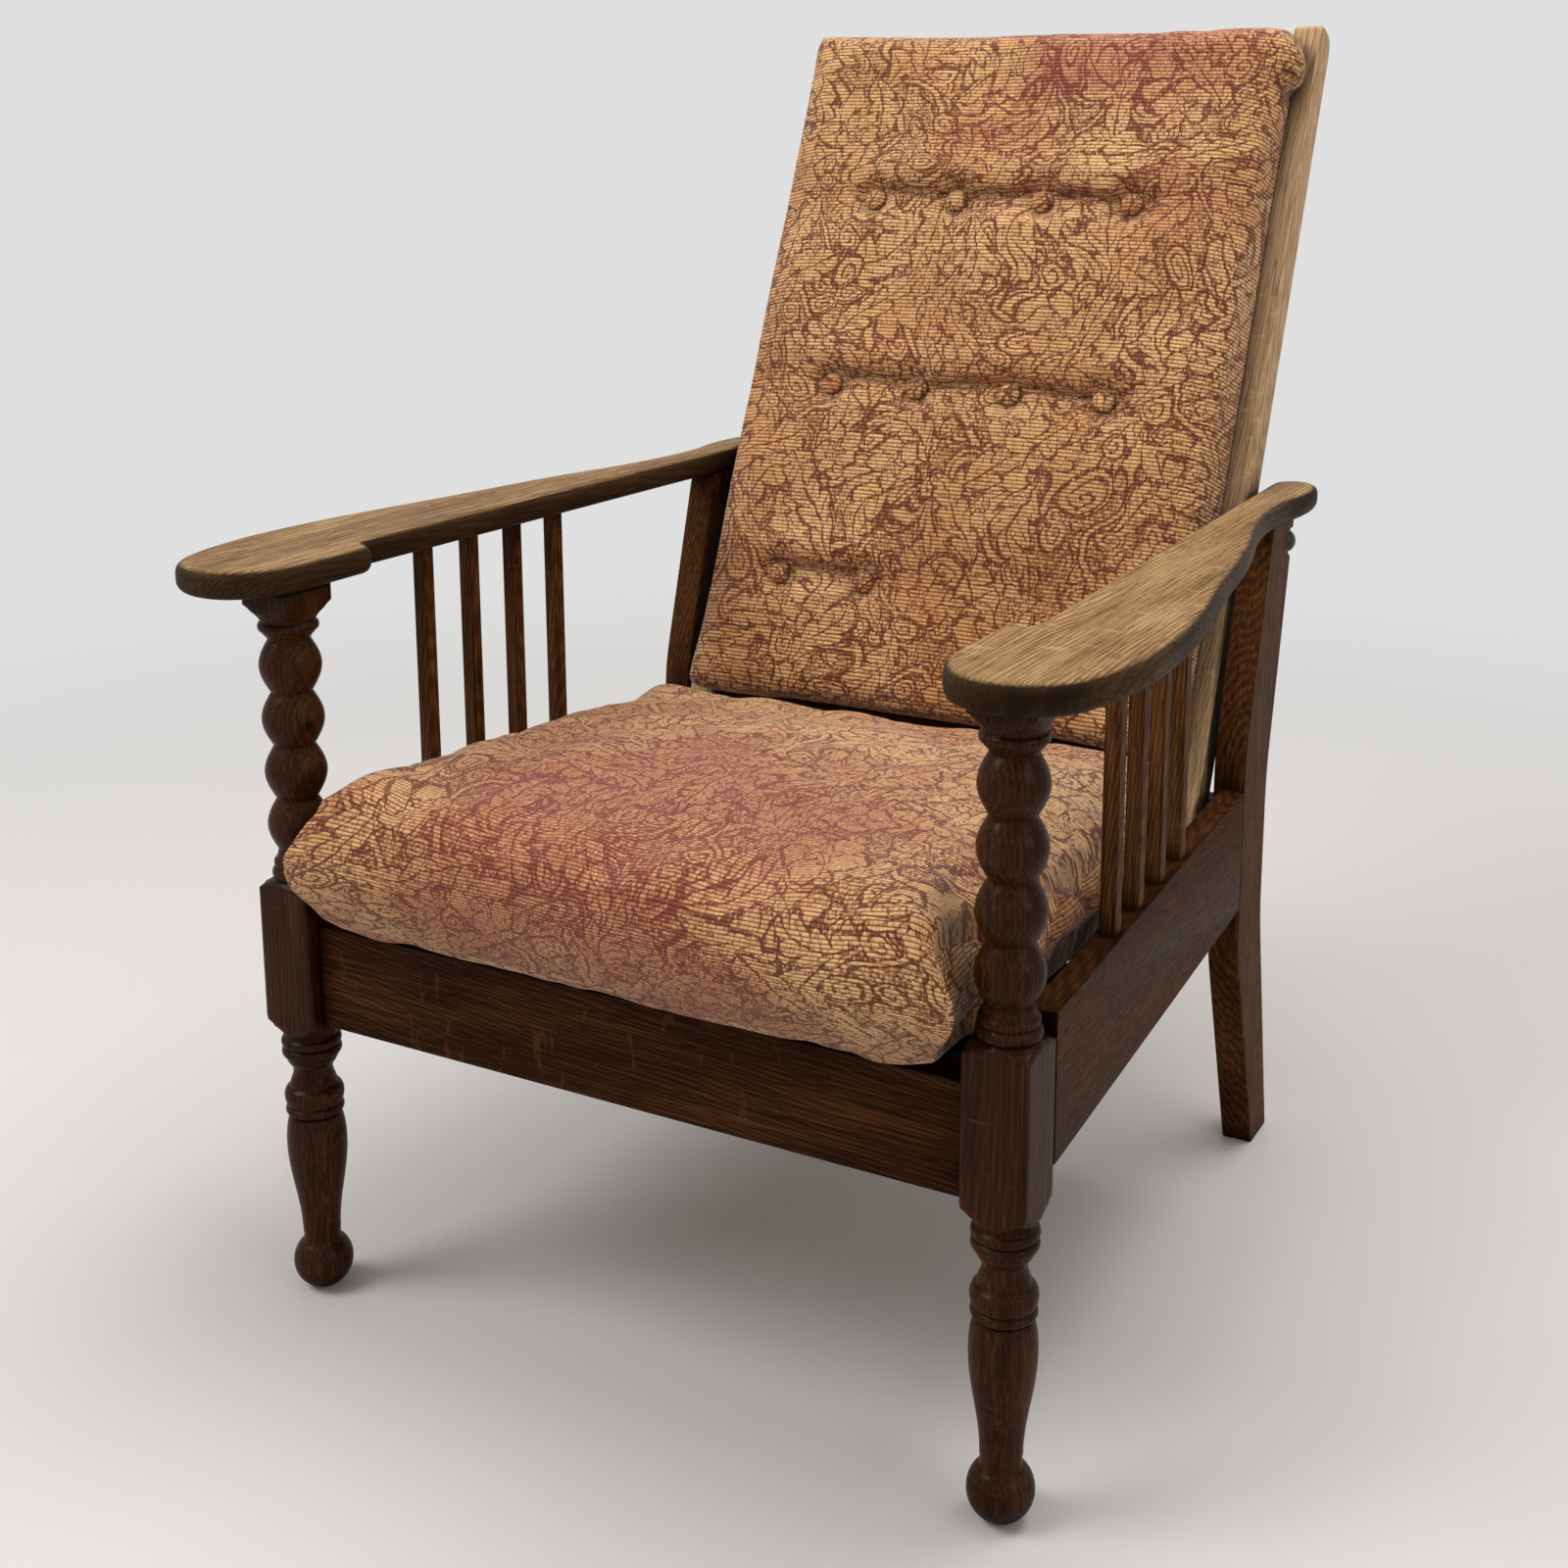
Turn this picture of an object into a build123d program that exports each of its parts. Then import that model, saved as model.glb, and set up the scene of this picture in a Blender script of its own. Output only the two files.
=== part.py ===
from build123d import *
import math
import os

# Reclining oak armchair. The front faces -Y, +X is the viewer's right, +Z is up.
# Every piece is drawn from the front legs' axes (y = 0) and the floor (z = 0). At the end the whole
# chair is moved so that the origin is the bottom centre of its bounding box.

# Clearances shared by all pieces, and the overrun of cuts
joint_gap = 0.1
same_heading = 1e-12
soft_gap = 0.6
overrun = 5.0

# Front legs: turned from square stock, from the floor to the underside of the arm
leg_square = 48.0
leg_centre_x = 302.0
arm_underside_z = 589.0
ball_radius = 23.7
ball_flat_radius = 7.0
vase_foot_radius = 15.0
vase_foot_z = 50.0
vase_radius = 23.7
vase_widest_z = 128.0
vase_top_radius = 18.5
vase_top_z = 153.0
bell_radius = 23.4
bell_groove_radius = 21.5
bell_groove_z = 161.0
bell_top_radius = 19.5
bell_top_z = 177.0
lower_neck_radius = 15.4
lower_neck_z = 192.0
collar_radius = 23.6
collar_groove_radius = 21.0
collar_low_z = 203.0
collar_groove_z = 211.5
collar_top_z = 220.0
block_low_z = 236.0
block_top_z = 353.0
block_turning_radius = 36.0
block_shoulder = 8.0
base_radius = 19.0
base_torus_radius = 22.5
base_torus_top_z = 363.0
base_ring_top_z = 370.0
bead_count = 4
vase_steps = 2
ball_steps = 4
bead_pitch = 42.5
bead_low_z = 397.5
bead_radius = 23.7
bead_neck_radius = 17.8
end_neck_radius = 17.0
top_ring_radius = 23.2
top_ring_low_z = 552.0
top_ring_top_z = 560.0
cap_low_z = 568.0
cap_turning_radius = 34.5

# Rails of the seat frame and their tenons
side_rail_thickness = 21.0
side_rail_top_z = 364.0
side_rail_low_z = 256.0
front_rail_thickness = 22.0
front_rail_top_z = 319.0
front_rail_low_z = 236.0
front_rail_setback = 13.0
rear_rail_thickness = 22.0
rear_tenon_share = 0.7
rear_rail_front_y = 534.0
rear_rail_top_z = 346.0
rear_rail_low_z = 262.0
rear_spandrel_drop = 58.0
rear_spandrel_share = 0.3
rear_spandrel_reach = 50.0
tenon_length = 16.0
tenon_thickness = 9.0
tenon_shoulder = 14.0

# Rear posts: a plank cut to a kicked outline, raked above the seat and kicked back below it
post_thickness = 27.8
post_outer_x = 298.5
post_front_y = 517.0
post_rear_y = 585.0
post_foot_front_y = 588.0
post_foot_rear_y = 634.0
post_head_front_y = 573.0
post_head_rear_y = 637.0
post_front_kick_z = 214.0
post_front_rake_z = 398.0
post_rear_kick_z = 230.0
post_rear_rake_z = 363.0
post_bend_run = 26.0
post_bevel = 1.5

# Arms: flat boards, a wide paddle over the leg and a tail behind the post
arm_thickness = 22.0
arm_edge_bevel = 4.7
arm_front_y = -76.0
arm_tail_y = 690.0
arm_paddle_outer_x = 382.0
arm_paddle_inner_x = 265.0
arm_inner_front_x = 284.0
arm_step_y = 50.0
arm_step_length = 26.0

# The arm's outline from the nose round the outside to the tail: shares of its length and of its width,
# and the heading of the edge in degrees
arm_outline_shares = (
    (0.0862, 0.0, -90.0), (0.0, 0.4274, 0.0), (0.158, 1.0, 90.0), (0.5144, 0.6923, 98.0),
    (0.8381, 0.3504, 90.0),
    (0.9347, 0.4017, 90.0), (1.0, 0.1966, 180.0), (0.9687, 0.0085, 271.75),
)

# Four upright square slats under each arm
slat_count = 4
slat_square = 12.7
slat_first_y = 167.0
slat_pitch = 56.5
slat_socket = 9.0
slat_bevel = 0.9

# Square tenons on top of the legs and posts, let into the arms
top_tenon_square = 14.0
top_tenon_length = 13.0

# Seat deck: sloping bearers on the side rails, laths across them, blocks in the front corners
bearer_width = 20.0
bearer_height = 24.0
bearer_front_top_z = 310.0
bearer_rear_top_z = 284.0
bearer_rear_y = 470.0
lath_count = 6
lath_width = 48.0
lath_thickness = 9.0
lath_first_y = 50.0
lath_last_y = 430.0
corner_block_leg = 40.0
corner_block_low_z = 245.0
corner_block_top_z = 283.0

# Back frame, drawn along its slope: t runs up the stiles and n runs rearward, square to them
back_slope_deg = 23.3
recline_travel_deg = 12.0
stile_thickness = 27.0
stile_depth = 34.0
stile_outer_x = 263.5
stile_low_t = -30.0
stile_top_t = 720.0
stile_bevel = 2.0
stile_head_front_radius = 6.0
stile_head_rear_radius = 16.0
back_rail_thickness = 20.0
top_rail_height = 60.0
top_rail_top_t = 696.0
top_rail_front_n = -27.0
bottom_rail_height = 58.0
back_slat_count = 5
back_slat_width = 50.0
back_slat_thickness = 10.0
back_slat_front_n = -24.0
back_tenon_length = 11.0
back_tenon_shoulder = 6.0

# Butt hinges between the back's bottom rail and the seat's rear rail
hinge_centre_x = 165.0
hinge_length = 64.0
hinge_leaf_thickness = 2.0
hinge_leaf_width = 19.0
hinge_knuckle_radius = 4.0
hinge_knuckle_count = 3
hinge_gap = 0.3
hinge_pin_radius = 2.4
hinge_pin_fit = 0.05

# Support rod behind the back, its two balls, and the notched iron racks under the arm tails
rod_radius = 4.8
rod_gap = 0.15
rod_axis_z = 566.0
rod_end_x = 289.0
knob_steps = 6
ball_knob_radius = 11.0
ball_knob_x = 291.0
post_notch_radius = 12.5
rack_thickness = 3.2
rack_notch_count = 3
rack_notch_depth = 2.2
rack_notch_radius = 5.2
rack_head_room = 3.0
rack_wall = 8.0
rack_front_y = 588.0
rack_rear_y = 687.0
rack_front_low_z = 556.0
rack_flange_width = 20.0
rack_flange_front_y = 643.0

# Seat cushion
seat_side_gap = 7.0
seat_front_y = -50.0
seat_rear_y = 454.0
seat_nose = 12.0
seat_rear_bulge = 6.0
seat_crown = 30.0
seat_top_front_z = 421.0
seat_top_rear_z = 394.0
seat_draw_in = 9.0

# Back cushion and its covered buttons
back_pad_side_gap = 1.5
back_pad_front_n = -84.0
back_pad_crown = 17.0
back_pad_low_t = 24.0
back_pad_top_t = 704.0
back_pad_end_bulge = 8.0
back_pad_draw_in = 6.0
button_radius = 9.4
button_height = 6.5
button_well_radius = 24.0
button_well_depth = 9.0
# Rows of buttons: height as a share of the cushion's, then places as shares of its half width
button_row_shares = (
    (0.7265, (-0.5574, -0.1872, 0.1872, 0.5574)),
    (0.45, (-0.5872, -0.2, 0.2, 0.5872)),
    (0.175, (-0.6724, -0.2894)),
)
crease_radius = 26.0
crease_depth = 4.0

# Half of a cushion from its side to its middle: how far in, the drawn-in part and the crown, as shares
pad_shares = (
    (0.0, 1.0, 0.3), (0.01, 0.5, 0.45), (0.04, 0.12, 0.6), (0.1, 0.0, 0.75), (0.25, 0.0, 0.93),
)

# Places worked out from the sizes above
leg_half = leg_square / 2
leg_outer_x = leg_centre_x + leg_half
leg_inner_x = leg_centre_x - leg_half
arm_top_z = arm_underside_z + arm_thickness
rail_taper = (leg_outer_x - post_outer_x) / (post_front_y - leg_half)
post_inner_x = post_outer_x - post_thickness
front_rail_front_y = front_rail_setback - leg_half
front_rail_rear_y = front_rail_front_y + front_rail_thickness
recline_axis_y = rear_rail_front_y - hinge_knuckle_radius - hinge_gap
recline_axis_z = rear_rail_top_z + hinge_leaf_thickness / 2
stile_inner_x = stile_outer_x - stile_thickness
seat_half_width = leg_inner_x - seat_side_gap
back_pad_half_width = stile_inner_x - back_pad_side_gap
bottom_rail_low_t = hinge_knuckle_radius + hinge_gap
bottom_rail_rear_n = -hinge_leaf_thickness / 2
slope = math.radians(back_slope_deg)
mid_slope = math.radians(back_slope_deg + recline_travel_deg / 2)


def mirrored(shape):
    return mirror(shape, about=Plane.YZ)


def box_between(x0, x1, y0, y1, z0, z1):
    size = (abs(x1 - x0), abs(y1 - y0), abs(z1 - z0))
    return Pos((x0 + x1) / 2, (y0 + y1) / 2, (z0 + z1) / 2) * Box(*size)


def in_side_view(face, x0, x1):
    """A flat face drawn as (y, z), made into a plank from x0 to x1."""
    return extrude(Plane.YZ.offset(x0) * face, amount=x1 - x0)


def in_front_view(face, y0, y1):
    """A flat face drawn as (x, z), made into a board from y0 to y1."""
    return extrude(Plane.XZ.offset(-y0) * face, amount=y1 - y0, dir=(0, 1, 0))


def in_plan(face, z0, z1):
    """A flat face drawn as (x, y), made into a board from z0 to z1."""
    return extrude(Plane.XY.offset(z0) * face, amount=z1 - z0)


def polygon(*points):
    return make_face(Polyline(*points, close=True))


def back_place(shape):
    """Moves a shape drawn as (x, n, t) at the hinge axis onto the sloping back."""
    return Pos(0, recline_axis_y, recline_axis_z) * Rot(-back_slope_deg, 0, 0) * shape


# Side rail's line in plan: flush with the leg in front and with the post behind


def rail_outer_x(y):
    return leg_outer_x - (y - leg_half) * rail_taper


def rail_inner_x(y):
    return rail_outer_x(y) - side_rail_thickness


def rail_middle_x(y):
    return rail_outer_x(y) - side_rail_thickness / 2


# Arcs that the outlines share


def subtract(a, b):
    return (a[0] - b[0], a[1] - b[1])


def halfway(a, b):
    return ((a[0] + b[0]) / 2, (a[1] + b[1]) / 2)


def two_arcs(start, start_deg, end, end_deg):
    """Two tangent arcs between two points, leaving and arriving at the given headings."""
    out = (math.cos(math.radians(start_deg)), math.sin(math.radians(start_deg)))
    back = (math.cos(math.radians(end_deg)), math.sin(math.radians(end_deg)))
    gap = subtract(end, start)
    both = (out[0] + back[0], out[1] + back[1])
    along = gap[0] * both[0] + gap[1] * both[1]
    square = gap[0] ** 2 + gap[1] ** 2
    turn = 2 * (1 - out[0] * back[0] - out[1] * back[1])
    if turn < same_heading:
        reach = square / (2 * along)
    else:
        reach = (math.sqrt(along ** 2 + turn * square) - along) / turn
    middle = halfway((start[0] + out[0] * reach, start[1] + out[1] * reach),
                     (end[0] - back[0] * reach, end[1] - back[1] * reach))
    return [TangentArc(start, middle, tangent=out), TangentArc(end, middle, tangent=(-back[0], -back[1]))]


# Front legs. One revolved outline runs from the ball foot to the cap. Where the stock is left square
# the outline is wider than the square, so the turner's slopes round the corners of block and cap.


def ring(radius_out, low, high):
    """A ring's outer edge: two bevels and a land."""
    rise = (high[1] - low[1]) / 4
    return [low, (radius_out, low[1] + rise), (radius_out, high[1] - rise), high]


def ridge(radius_out, low, high):
    """A thin ring's outer edge: two bevels."""
    return [low, (radius_out, (low[1] + high[1]) / 2), high]


def sweep_between(low, high, steps):
    """Points of a soft curve between a hollow and a crest, upright at both."""
    turns = [math.pi * step / steps for step in range(steps + 1)]
    return [(low[0] + (high[0] - low[0]) * (1 - math.cos(turn)) / 2,
             low[1] + (high[1] - low[1]) * turn / math.pi)
            for turn in turns]


def ball_points():
    """The ball foot from its flat to the hollow above it."""
    centre_z = math.sqrt(ball_radius ** 2 - ball_flat_radius ** 2)
    start = -math.acos(ball_flat_radius / ball_radius)
    end = math.acos(vase_foot_radius / ball_radius)
    turns = [start + (end - start) * step / ball_steps for step in range(ball_steps + 1)]
    return [(ball_radius * math.cos(turn), centre_z + ball_radius * math.sin(turn)) for turn in turns]


def leg_outline():
    vase_foot = (vase_foot_radius, vase_foot_z)
    vase_wide = (vase_radius, vase_widest_z)
    vase_top = (vase_top_radius, vase_top_z)
    bell_groove = (bell_groove_radius, bell_groove_z)
    bell_top = (bell_top_radius, bell_top_z)
    neck = (lower_neck_radius, lower_neck_z)
    collar_low = (collar_groove_radius, collar_low_z)
    collar_mid = (collar_groove_radius, collar_groove_z)
    collar_top = (collar_groove_radius, collar_top_z)
    block_low = (block_turning_radius, block_low_z + block_shoulder / 2)
    block_top = (block_turning_radius, block_top_z - block_shoulder)
    base_low = (base_radius, block_top_z)
    base_mid = (base_radius, base_torus_top_z)
    base_top = (base_radius, base_ring_top_z)
    ring_low = (collar_groove_radius, top_ring_low_z)
    ring_top = (collar_groove_radius, top_ring_top_z)
    cap_low = (cap_turning_radius, cap_low_z + block_shoulder)
    cap_top = (cap_turning_radius, arm_underside_z)
    points = [(0, 0)] + ball_points() + sweep_between(vase_foot, vase_wide, vase_steps)
    points += ring(bell_radius, vase_top, bell_groove) + ring(bell_radius, bell_groove, bell_top)
    points += [neck] + ridge(collar_radius, collar_low, collar_mid)
    points += ridge(collar_radius, collar_mid, collar_top)
    points += [block_low, block_top] + ridge(base_torus_radius, base_low, base_mid) + [base_top]
    hollow = (end_neck_radius, bead_low_z - bead_pitch / 2)
    for index in range(bead_count):
        z = bead_low_z + index * bead_pitch
        next_radius = end_neck_radius if index == bead_count - 1 else bead_neck_radius
        next_hollow = (next_radius, z + bead_pitch / 2)
        points += ring(bead_radius, hollow, next_hollow)
        hollow = next_hollow
    points += ridge(top_ring_radius, ring_low, ring_top) + [cap_low, cap_top, (0, arm_underside_z)]
    once = [point for point, after in zip(points, points[1:] + points[:1]) if math.dist(point, after) > 0]
    return polygon(*once)


def front_leg():
    turned = revolve(Plane.XZ * leg_outline(), axis=Axis.Z)
    stock = box_between(-leg_half, leg_half, -leg_half, leg_half, 0, arm_underside_z)
    leg = Pos(leg_centre_x, 0, 0) * (turned & stock) + leg_top_tenon()
    return leg - side_tenon(True, joint_gap) - front_tenon(joint_gap)


# Tenons. Each is drawn once; its mortise is the same box grown by the joint gap.


def side_tenon(at_front, grow=0):
    y_root = leg_half if at_front else post_front_y
    y_end = y_root - tenon_length - grow if at_front else y_root + tenon_length + grow
    x = rail_middle_x(y_root)
    half = tenon_thickness / 2 + grow
    low = side_rail_low_z + tenon_shoulder - grow
    high = min(side_rail_top_z, block_top_z) - tenon_shoulder + grow
    return box_between(x - half, x + half, min(y_root, y_end), max(y_root, y_end), low, high)


def front_tenon(grow=0):
    y = (front_rail_front_y + front_rail_rear_y) / 2
    half = tenon_thickness / 2 + grow
    return box_between(leg_inner_x, leg_inner_x + tenon_length + grow, y - half, y + half,
                       front_rail_low_z + tenon_shoulder - grow, front_rail_top_z - tenon_shoulder + grow)


def rear_tenon(grow=0):
    y = rear_rail_front_y + rear_rail_thickness * rear_tenon_share
    half = tenon_thickness / 2 + grow
    return box_between(post_inner_x, post_inner_x + post_thickness / 2 + grow, y - half, y + half,
                       rear_rail_low_z + tenon_shoulder - grow, rear_rail_top_z - tenon_shoulder + grow)


def side_rail():
    y0, y1 = leg_half, post_front_y
    plan = polygon((rail_outer_x(y0), y0), (rail_outer_x(y1), y1),
                   (rail_inner_x(y1), y1), (rail_inner_x(y0), y0))
    rail = in_plan(plan, side_rail_low_z, side_rail_top_z) + side_tenon(True) + side_tenon(False)
    for index in range(slat_count):
        rail -= slat(index, joint_gap)
    return rail


def front_rail():
    rail = box_between(-leg_inner_x, leg_inner_x, front_rail_front_y, front_rail_rear_y,
                       front_rail_low_z, front_rail_top_z)
    return rail + front_tenon() + mirrored(front_tenon())


def rear_rail():
    """The rear rail carries the hinges. Below, it curves down to a bracket at each post."""
    half = post_inner_x
    reach_x = half - rear_spandrel_reach
    foot_z = rear_rail_low_z - rear_spandrel_drop
    bend = (half - rear_spandrel_reach * rear_spandrel_share,
            rear_rail_low_z - rear_spandrel_drop * rear_spandrel_share)
    outline = Wire([
        Line((-half, rear_rail_top_z), (half, rear_rail_top_z)),
        Line((half, rear_rail_top_z), (half, foot_z)),
        ThreePointArc((half, foot_z), bend, (reach_x, rear_rail_low_z)),
        Line((reach_x, rear_rail_low_z), (-reach_x, rear_rail_low_z)),
        ThreePointArc((-reach_x, rear_rail_low_z), (-bend[0], bend[1]), (-half, foot_z)),
        Line((-half, foot_z), (-half, rear_rail_top_z)),
    ])
    rail = in_front_view(make_face(outline), rear_rail_front_y, rear_rail_front_y + rear_rail_thickness)
    rail += rear_tenon() + mirrored(rear_tenon())
    return rail


# Rear posts


def bent_line(foot, kick, rake, head):
    """One edge of the post: straight, bend, upright stretch, bend, straight."""
    def toward(a, b):
        share = post_bend_run / math.dist(a, b)
        return (a[0] + (b[0] - a[0]) * share, a[1] + (b[1] - a[1]) * share)
    kick_below, kick_above = toward(kick, foot), toward(kick, rake)
    rake_below, rake_above = toward(rake, kick), toward(rake, head)
    return [
        Line(foot, kick_below),
        TangentArc(kick_below, kick_above, tangent=subtract(kick, foot)),
        Line(kick_above, rake_below),
        TangentArc(rake_below, rake_above, tangent=subtract(rake, kick)),
        Line(rake_above, head),
    ]


def rear_post():
    front = bent_line((post_foot_front_y, 0), (post_front_y, post_front_kick_z),
                      (post_front_y, post_front_rake_z), (post_head_front_y, arm_underside_z))
    rear = bent_line((post_foot_rear_y, 0), (post_rear_y, post_rear_kick_z),
                     (post_rear_y, post_rear_rake_z), (post_head_rear_y, arm_underside_z))
    foot = Line((post_foot_front_y, 0), (post_foot_rear_y, 0))
    head = Line((post_head_front_y, arm_underside_z), (post_head_rear_y, arm_underside_z))
    post = in_side_view(make_face(Wire(front + [head] + rear + [foot])), post_inner_x, post_outer_x)
    long_edges = post.edges().filter_by(lambda edge: edge.bounding_box().size.Z > post_bevel)
    post = chamfer(long_edges, post_bevel)
    post = post - side_tenon(False, joint_gap) - rear_tenon(joint_gap) - ball_way()
    return post + post_top_tenon()


def top_tenon(x, y, grow=0):
    half = top_tenon_square / 2 + grow
    return box_between(x - half, x + half, y - half, y + half,
                       arm_underside_z, arm_underside_z + top_tenon_length + grow)


def leg_top_tenon(grow=0):
    return top_tenon(leg_centre_x, 0, grow)


def post_top_tenon(grow=0):
    return top_tenon((post_inner_x + post_outer_x) / 2, (post_head_front_y + post_head_rear_y) / 2, grow)


# Arms


def arm():
    length = arm_tail_y - arm_front_y
    width = arm_paddle_outer_x - arm_paddle_inner_x
    places = [((arm_paddle_inner_x + across * width, arm_front_y + along * length), heading)
              for along, across, heading in arm_outline_shares]
    nose_start, tail_end = places[0][0], places[-1][0]
    step_top = (arm_inner_front_x, arm_step_y + arm_step_length)
    step_foot = (arm_paddle_inner_x, arm_step_y)
    inner_way = subtract(step_top, tail_end)
    inner_deg = math.degrees(math.atan2(inner_way[1], inner_way[0]))
    places[-1] = (tail_end, inner_deg)
    curve = []
    for (start, start_deg), (end, end_deg) in zip(places, places[1:]):
        curve += two_arcs(start, start_deg, end, end_deg)
    outline = Wire(curve + [Line(tail_end, step_top)] + two_arcs(step_top, inner_deg, step_foot, -90)
                   + [Line(step_foot, nose_start)])
    board = in_plan(make_face(outline), arm_underside_z, arm_top_z)
    edges = board.faces().sort_by(Axis.Z)[-1].edges() + board.faces().sort_by(Axis.Z)[0].edges()
    board = chamfer(edges, arm_edge_bevel)
    for index in range(slat_count):
        board -= slat(index, joint_gap)
    board = board - leg_top_tenon(joint_gap) - post_top_tenon(joint_gap)
    return board


def slat(index, grow=0):
    y = slat_first_y + index * slat_pitch
    half = slat_square / 2 + grow
    x = rail_middle_x(y)
    bar = box_between(x - half, x + half, y - half, y + half, side_rail_top_z - slat_socket - grow,
                      arm_underside_z + slat_socket + grow)
    return chamfer(bar.edges().filter_by(Axis.Z), slat_bevel)


# Seat deck


def deck_slope():
    return (bearer_front_top_z - bearer_rear_top_z) / (bearer_rear_y - leg_half)


def deck_z(y):
    """Top of the bearers at depth y."""
    return bearer_front_top_z - (y - leg_half) * deck_slope()


def bearer():
    y0, y1 = leg_half, bearer_rear_y
    plan = polygon((rail_inner_x(y0), y0), (rail_inner_x(y1), y1), (rail_inner_x(y1) - bearer_width, y1),
                   (rail_inner_x(y0) - bearer_width, y0))
    side = polygon((y0, deck_z(y0)), (y1, deck_z(y1)), (y1, deck_z(y1) - bearer_height),
                   (y0, deck_z(y0) - bearer_height))
    return in_plan(plan, 0, side_rail_top_z) & in_side_view(side, 0, leg_outer_x)


def lath(index):
    y = lath_first_y + index * (lath_last_y - lath_first_y) / (lath_count - 1)
    half = rail_inner_x(y + lath_width / 2) - soft_gap
    strip = box_between(-half, half, -lath_width / 2, lath_width / 2, 0, lath_thickness)
    return Pos(0, y, deck_z(y)) * Rot(-math.degrees(math.atan(deck_slope())), 0, 0) * strip


def corner_block():
    """A glued block across the corner between the front rail and the leg's inner face."""
    x1, y1 = leg_inner_x, front_rail_rear_y
    wedge = polygon((x1, y1), (x1 - corner_block_leg, y1), (x1, min(leg_half, y1 + corner_block_leg)))
    return in_plan(wedge, corner_block_low_z, corner_block_top_z)


# Back frame


def crossbars():
    """Every bar between the stiles, as its name and its n and t limits."""
    bars = {
        "back_bottom_rail": (bottom_rail_rear_n - back_rail_thickness, bottom_rail_rear_n,
                             bottom_rail_low_t, bottom_rail_low_t + bottom_rail_height),
        "back_top_rail": (top_rail_front_n, top_rail_front_n + back_rail_thickness,
                          top_rail_top_t - top_rail_height, top_rail_top_t),
    }
    low = bottom_rail_low_t + bottom_rail_height
    high = top_rail_top_t - top_rail_height
    space = (high - low - back_slat_count * back_slat_width) / (back_slat_count + 1)
    for index in range(back_slat_count):
        t = low + space + index * (back_slat_width + space)
        bars[f"back_slat_{index + 1}"] = (back_slat_front_n, back_slat_front_n + back_slat_thickness,
                                          t, t + back_slat_width)
    return bars


def bar_tenon(limits, grow=0):
    n0, n1, t0, t1 = limits
    wall = (n1 - n0) / 4
    return box_between(stile_inner_x, stile_inner_x + back_tenon_length + grow, n0 + wall - grow,
                       n1 - wall + grow, t0 + back_tenon_shoulder - grow, t1 - back_tenon_shoulder + grow)


def crossbar(limits):
    n0, n1, t0, t1 = limits
    bar = box_between(-stile_inner_x, stile_inner_x, n0, n1, t0, t1)
    return bar + bar_tenon(limits) + mirrored(bar_tenon(limits))


def stile():
    front_n, top_t = -stile_depth, stile_top_t
    front_curve, rear_curve = stile_head_front_radius, stile_head_rear_radius
    outline = Wire([
        Line((0, stile_low_t), (0, top_t - rear_curve)),
        RadiusArc((0, top_t - rear_curve), (-rear_curve, top_t), -rear_curve),
        Line((-rear_curve, top_t), (front_n + front_curve, top_t)),
        RadiusArc((front_n + front_curve, top_t), (front_n, top_t - front_curve), -front_curve),
        Line((front_n, top_t - front_curve), (front_n, stile_low_t)),
        Line((front_n, stile_low_t), (0, stile_low_t)),
    ])
    bar = in_side_view(make_face(outline), stile_inner_x, stile_outer_x)
    long_edges = bar.edges().filter_by(lambda edge: edge.bounding_box().size.Z > stile_bevel)
    bar = chamfer(long_edges, stile_bevel)
    for limits in crossbars().values():
        bar -= bar_tenon(limits, joint_gap)
    return bar


# Hinges


def knuckle_span(index):
    """Start and end of a hinge knuckle along the hinge, counted from its outer end."""
    length = (hinge_length - (hinge_knuckle_count - 1) * hinge_gap) / hinge_knuckle_count
    start = hinge_centre_x - hinge_length / 2 + index * (length + hinge_gap)
    return start, start + length


def along_x(radius, x0, x1):
    return Pos((x0 + x1) / 2, 0, 0) * Rot(0, 90, 0) * Cylinder(radius, x1 - x0)


def hinge_leaf(first):
    """A leaf lying rearward from the hinge axis, with every other knuckle from the first."""
    start, end = hinge_centre_x - hinge_length / 2, hinge_centre_x + hinge_length / 2
    leaf = box_between(start, end, hinge_knuckle_radius + hinge_gap, hinge_leaf_width,
                       -hinge_leaf_thickness / 2, hinge_leaf_thickness / 2)
    for index in range(first, hinge_knuckle_count, 2):
        x0, x1 = knuckle_span(index)
        leaf += along_x(hinge_knuckle_radius, x0, x1)
        leaf += box_between(x0, x1, 0, hinge_leaf_width / 2,
                            -hinge_leaf_thickness / 2, hinge_leaf_thickness / 2)
    leaf -= along_x(hinge_pin_radius + hinge_pin_fit, start - overrun, end + overrun)
    return leaf


def fixed_place(shape):
    return Pos(0, recline_axis_y, recline_axis_z) * shape


def moving_place(shape):
    """Turns a leaf drawn lying rearward so that it stands against the bottom rail."""
    return mirror(Rot(90, 0, 0) * shape, about=Plane.XZ)


def hinge_pin():
    return along_x(hinge_pin_radius, hinge_centre_x - hinge_length / 2, hinge_centre_x + hinge_length / 2)


# Support rod and racks. The rod leans on the rear face of the stiles. As the back reclines the rod
# runs straight, square to the back's middle position.


def rod_start():
    n = rod_radius + rod_gap
    t = (rod_axis_z - recline_axis_z + n * math.sin(slope)) / math.cos(slope)
    return recline_axis_y + n * math.cos(slope) + t * math.sin(slope), rod_axis_z


def rod_direction():
    return math.cos(mid_slope), -math.sin(mid_slope)


def rod_travel():
    y, z = rod_start()
    height = (y - recline_axis_y) * math.sin(mid_slope) + (z - recline_axis_z) * math.cos(mid_slope)
    return 2 * height * math.tan(math.radians(recline_travel_deg / 2))


def on_rod_path(face):
    """Places a face drawn as (along the rod's path, square above it) in the side view."""
    y, z = rod_start()
    return Pos(y, z) * Rot(0, 0, -math.degrees(mid_slope)) * face


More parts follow.
